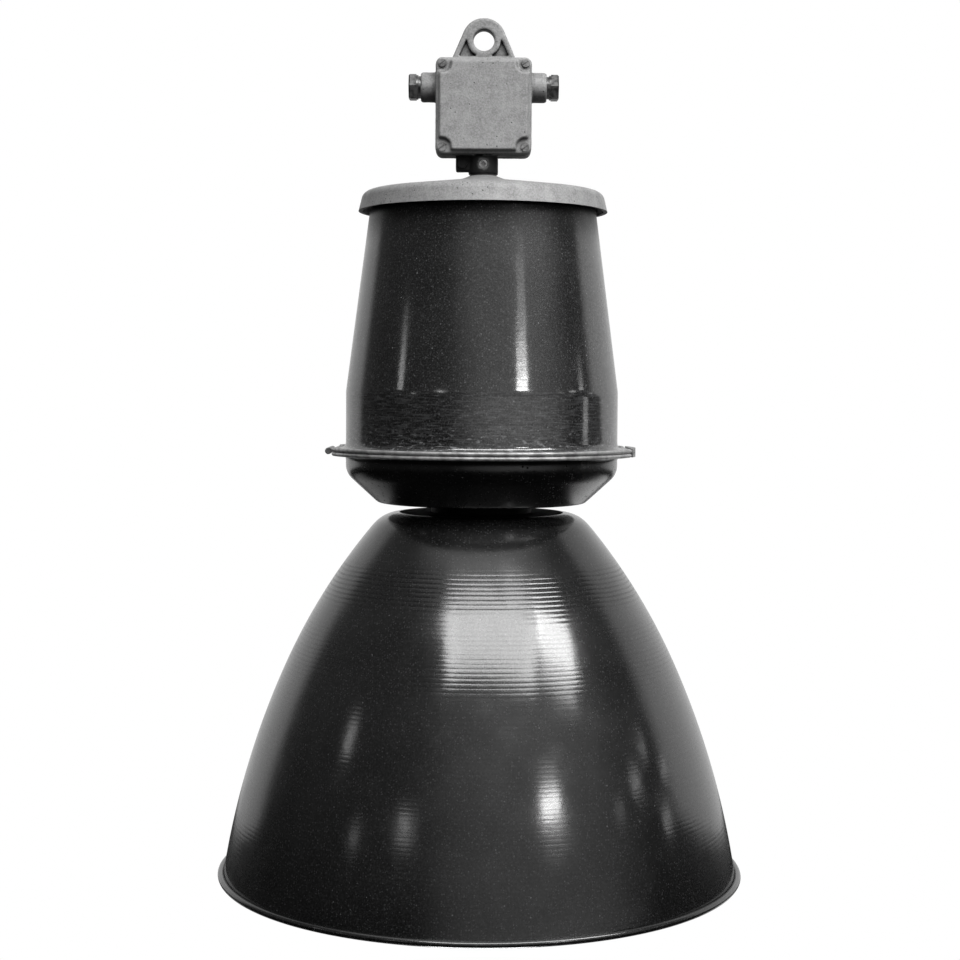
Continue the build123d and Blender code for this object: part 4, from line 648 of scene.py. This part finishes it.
# Gear housing: spun drum with fine grooves on its cylinder
drum_line = eased(evenly(rounded_path(HOUSING_CORNERS, HOUSING_RADII), OUTER_STEP), FLANGE_EASING)
drum_line[:, 1] -= FLANGE_SUNK * (drum_line[:, 0] > FLANGE_ROOT_R)
drum_hem = rolled_edge((HEM_MIDDLE_R, FLANGE_TOP - SHEET / 2), HEM_R, HEM_START, -HEM_START)
drum_loop = np.concatenate([drum_line, drum_hem, inner_line(drum_line)])
drum_rows = len(drum_line)
drum_along = np.arange(drum_rows) * OUTER_STEP
drum_zone = fade(drum_line[:, 1], *DRUM_GROOVES_START)
drum_depth = DRUM_GROOVE_DEPTH * (DRUM_DEPTH_LEFT + (1 - DRUM_DEPTH_LEFT) * drum_zone)
drum_depth *= fade(drum_along, *DRUM_TOP_SMOOTH) * fade(drum_along[::-1], *DRUM_FLANGE_SMOOTH)


def drum_wave(angles):
    return padded_rows(grooves(drum_along, angles, DRUM_GROOVE_PITCH, drum_depth), len(drum_loop))


drum_finish = np.zeros(len(drum_loop))
flange_start = np.flatnonzero(drum_line[:, 0] > FLANGE_ROOT_R)[0]
drum_finish[flange_start : drum_rows + len(drum_hem)] = 1
drum_side = padded_rows(-right_side(drum_line), len(drum_loop))
drum = turned_piece("enamel_housing", drum_loop, drum_finish, (enamel, flange_edge),
                    ripple=(drum_wave, drum_side), cut=(FLANGE_TOP - SHEET, FLANGE_TOP - FLANGE_SUNK))
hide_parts("gear_housing")
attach(drum, "head")

# Lower pan: pitted enamel, with the same flange turned the other way
pan_line = eased(evenly(rounded_path(PAN_CORNERS, PAN_RADII), OUTER_STEP), FLANGE_EASING)
pan_line[:, 1] += FLANGE_SUNK * (pan_line[:, 0] > FLANGE_ROOT_R)
pan_hem = rolled_edge((HEM_MIDDLE_R, FLANGE_FOOT + SHEET / 2), HEM_R, HEM_START, -HEM_START)
pan_loop = np.concatenate([pan_line, inner_line(pan_line), pan_hem])
pan_finish = np.zeros(len(pan_loop))
pan_finish[-len(pan_hem) - 1 :] = 1
pan = turned_piece("enamel_pan", pan_loop, pan_finish, (pan_enamel, flange_edge),
                   cut=(FLANGE_FOOT + FLANGE_SUNK, FLANGE_FOOT + SHEET))
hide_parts("lower_pan")
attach(pan, "lower_section")


def softened_casting(name, node, body, passes):
    """A copy of a cast node with rounded edges and the uneven skin that sand leaves.

    Smoothing draws the form in, and a swell brings it back to its size.
    """
    mesh = frame["nodes"][node].data.copy()
    welded = bmesh.new()
    welded.from_mesh(mesh)
    bmesh.ops.remove_doubles(welded, verts=welded.verts, dist=WELD_DISTANCE * MM)
    welded.to_mesh(mesh)
    welded.free()
    rough = bpy.data.objects.new(name + "_rough", mesh)
    bpy.context.scene.collection.objects.link(rough)
    voxels = rough.modifiers.new("voxels", "REMESH")
    voxels.mode = "VOXEL"
    voxels.voxel_size = CAST_VOXEL * MM
    soften = rough.modifiers.new("soften", "SMOOTH")
    soften.iterations = passes
    drawn = rough.evaluated_get(bpy.context.evaluated_depsgraph_get())
    skin = bpy.data.meshes.new_from_object(drawn)
    bpy.data.objects.remove(rough)
    skin.name = name
    places = np.zeros(len(skin.vertices) * 3)
    skin.vertices.foreach_get("co", places)
    outwards = np.zeros(len(skin.vertices) * 3)
    skin.vertex_normals.foreach_get("vector", outwards)
    spots = [Vector(p) for p in places.reshape(-1, 3)]
    lumps = np.array([noise.noise(p / (LUMP * MM)) for p in spots])
    lumps += FINE_LUMP_SHARE * np.array([noise.noise(p / (FINE_LUMP * MM)) for p in spots])
    places += outwards * (np.repeat(lumps, 3) * CAST_ROUGHNESS + CAST_SWELL) * MM
    box = np.array([v.co for v in frame["nodes"][node].data.vertices])
    places = np.clip(places.reshape(-1, 3), box.min(axis=0), box.max(axis=0)).ravel()
    skin.vertices.foreach_set("co", places)
    skin.update()
    skin.materials.clear()
    skin.materials.append(cast)
    skin.shade_smooth()
    piece = bpy.data.objects.new(name, skin)
    bpy.context.scene.collection.objects.link(piece)
    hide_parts(node)
    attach(piece, body)


softened_casting("cast_box", "junction_box", "head", passes=6)
softened_casting("cast_cover", "junction_box_cover", "head", passes=24)


def softbox(name, place, facing, across, width, height, radiance):
    """A rectangular lamp that shines along facing, with its width along across."""
    lamp = bpy.data.lights.new(name, "AREA")
    lamp.shape = "RECTANGLE"
    lamp.size = width
    lamp.size_y = height
    lamp.energy = radiance * math.pi * width * height
    lit = bpy.data.objects.new(name, lamp)
    back = -Vector(facing).normalized()
    side = (Vector(across) - back * back.dot(Vector(across))).normalized()
    turn = Matrix((side, back.cross(side), back)).transposed()
    lit.matrix_world = Matrix.Translation(place) @ turn.to_4x4()
    lit.visible_camera = False
    bpy.context.scene.collection.objects.link(lit)


def window(name, azimuth, distance, low, high, width, radiance):
    """An upright lamp round the object, azimuth degrees to the right of the camera's side."""
    turn = math.radians(azimuth)
    place = Vector((math.sin(turn) * distance, -math.cos(turn) * distance, (low + high) / 2))
    across = (math.cos(turn), math.sin(turn), 0.0)
    softbox(name, place, (-place.x, -place.y, 0.0), across, width, high - low, radiance)


# Studio: softboxes above in front, at the right and under the shade's mouth, and small windows all round
for row in SOFTBOXES:
    softbox(*row)
for row in WINDOWS:
    window(*row)


def studio_world():
    """White for the camera, and for reflections a glow in front, a backdrop, a ground and a dim room."""
    world = bpy.data.worlds.new("studio")
    world.use_nodes = True
    world.node_tree.nodes.clear()
    nodes = Nodes(world.node_tree)
    way = nodes.make("ShaderNodeTexCoord").outputs["Generated"]
    axes = nodes.make("ShaderNodeSeparateXYZ", {"Vector": way}).outputs
    walls = nodes.ramp(axes["Z"], -0.3, 0.6, 0.008, 0.13)
    room = nodes.math("ADD", walls, nodes.ramp(axes["Z"], 0.75, 0.98, 0.0, 0.9))
    glow = nodes.ramp(nodes.dot(way, GLOW_WAY), 0.5, 1.0, 0.0, 0.39)
    glow = nodes.math("MULTIPLY", glow, nodes.ramp(axes["Z"], -0.05, -0.034))
    glow = nodes.math("MULTIPLY", glow, nodes.ramp(axes["Z"], 0.012, -0.008, 1.0, 2.3))
    low = nodes.ramp(axes["Z"], -0.27, -0.33)
    ground = nodes.math("MULTIPLY", low, nodes.ramp(axes["Y"], 0.45, 0.75, 0.0, 0.45))
    ground = nodes.math("MULTIPLY", ground, nodes.ramp(axes["X"], -0.5, 0.5, 0.65, 2.2))
    behind = nodes.ramp(nodes.dot(way, BACKDROP_WAY), 0.3, 0.5)
    rise = nodes.math("SUBTRACT", nodes.dot(way, BACKDROP_SLOPE), BACKDROP_END)
    backdrop = nodes.math("MULTIPLY", behind, nodes.ramp(rise, -0.01, 0.01))
    rays = nodes.make("ShaderNodeLightPath").outputs
    backdrop_light = nodes.math("ADD", 0.72, nodes.math("MULTIPLY", axes["X"], 0.12))
    backdrop_light = nodes.math("MULTIPLY", backdrop_light, nodes.ramp(axes["Z"], 0.15, 0.6, 1.0, 0.65))
    seen = nodes.math("ADD", 0.75, nodes.math("MULTIPLY", rays["Is Glossy Ray"], 0.25))
    backdrop = nodes.math("MULTIPLY", nodes.math("MULTIPLY", backdrop, backdrop_light), seen)
    light = nodes.math("ADD", nodes.math("ADD", room, glow), nodes.math("ADD", ground, backdrop))
    white = nodes.math("MAXIMUM", rays["Is Camera Ray"], rays["Is Transmission Ray"])
    strength = nodes.math("ADD", nodes.math("MULTIPLY", light, nodes.math("SUBTRACT", 1.0, white)), white)
    background = nodes.make("ShaderNodeBackground", {"Color": grey(1.0), "Strength": strength})
    nodes.make("ShaderNodeOutputWorld", {"Surface": background.outputs["Background"]})
    bpy.context.scene.world = world


studio_world()


def pale_floor():
    """A round floor far below the hanging lamp, fading out at its edge."""
    mesh = bpy.data.meshes.new("floor")
    disc = bmesh.new()
    bmesh.ops.create_circle(disc, cap_ends=True, segments=96, radius=FLOOR_R)
    disc.to_mesh(mesh)
    disc.free()
    look = Finish("floor")
    look.set(Base_Color=look.blend(look.noise(400.0, 3.0), grey(0.8), grey(0.84)))
    look.set(Roughness=0.9)
    reach = look.make("ShaderNodeVectorMath", {0: look.place}, operation="LENGTH").outputs["Value"]
    look.set(Alpha=look.ramp(reach, *FLOOR_FADE, 1.0, 0.0))
    mesh.materials.append(look.material)
    floor = bpy.data.objects.new("floor", mesh)
    floor.location = (0.0, 0.0, FLOOR_HEIGHT)
    floor.visible_diffuse = False
    floor.visible_glossy = False
    bpy.context.scene.collection.objects.link(floor)


pale_floor()

# Camera at the photograph's viewing angle
camera_data = bpy.data.cameras.new("camera")
camera_data.lens = CAMERA_LENS
camera_data.sensor_width = CAMERA_SENSOR
camera = bpy.data.objects.new("camera", camera_data)
camera.location = CAMERA_PLACE
camera.rotation_euler = (math.radians(CAMERA_TILT), math.radians(CAMERA_ROLL), 0.0)
bpy.context.scene.collection.objects.link(camera)
bpy.context.scene.camera = camera
bpy.context.scene.view_settings.view_transform = "Standard"
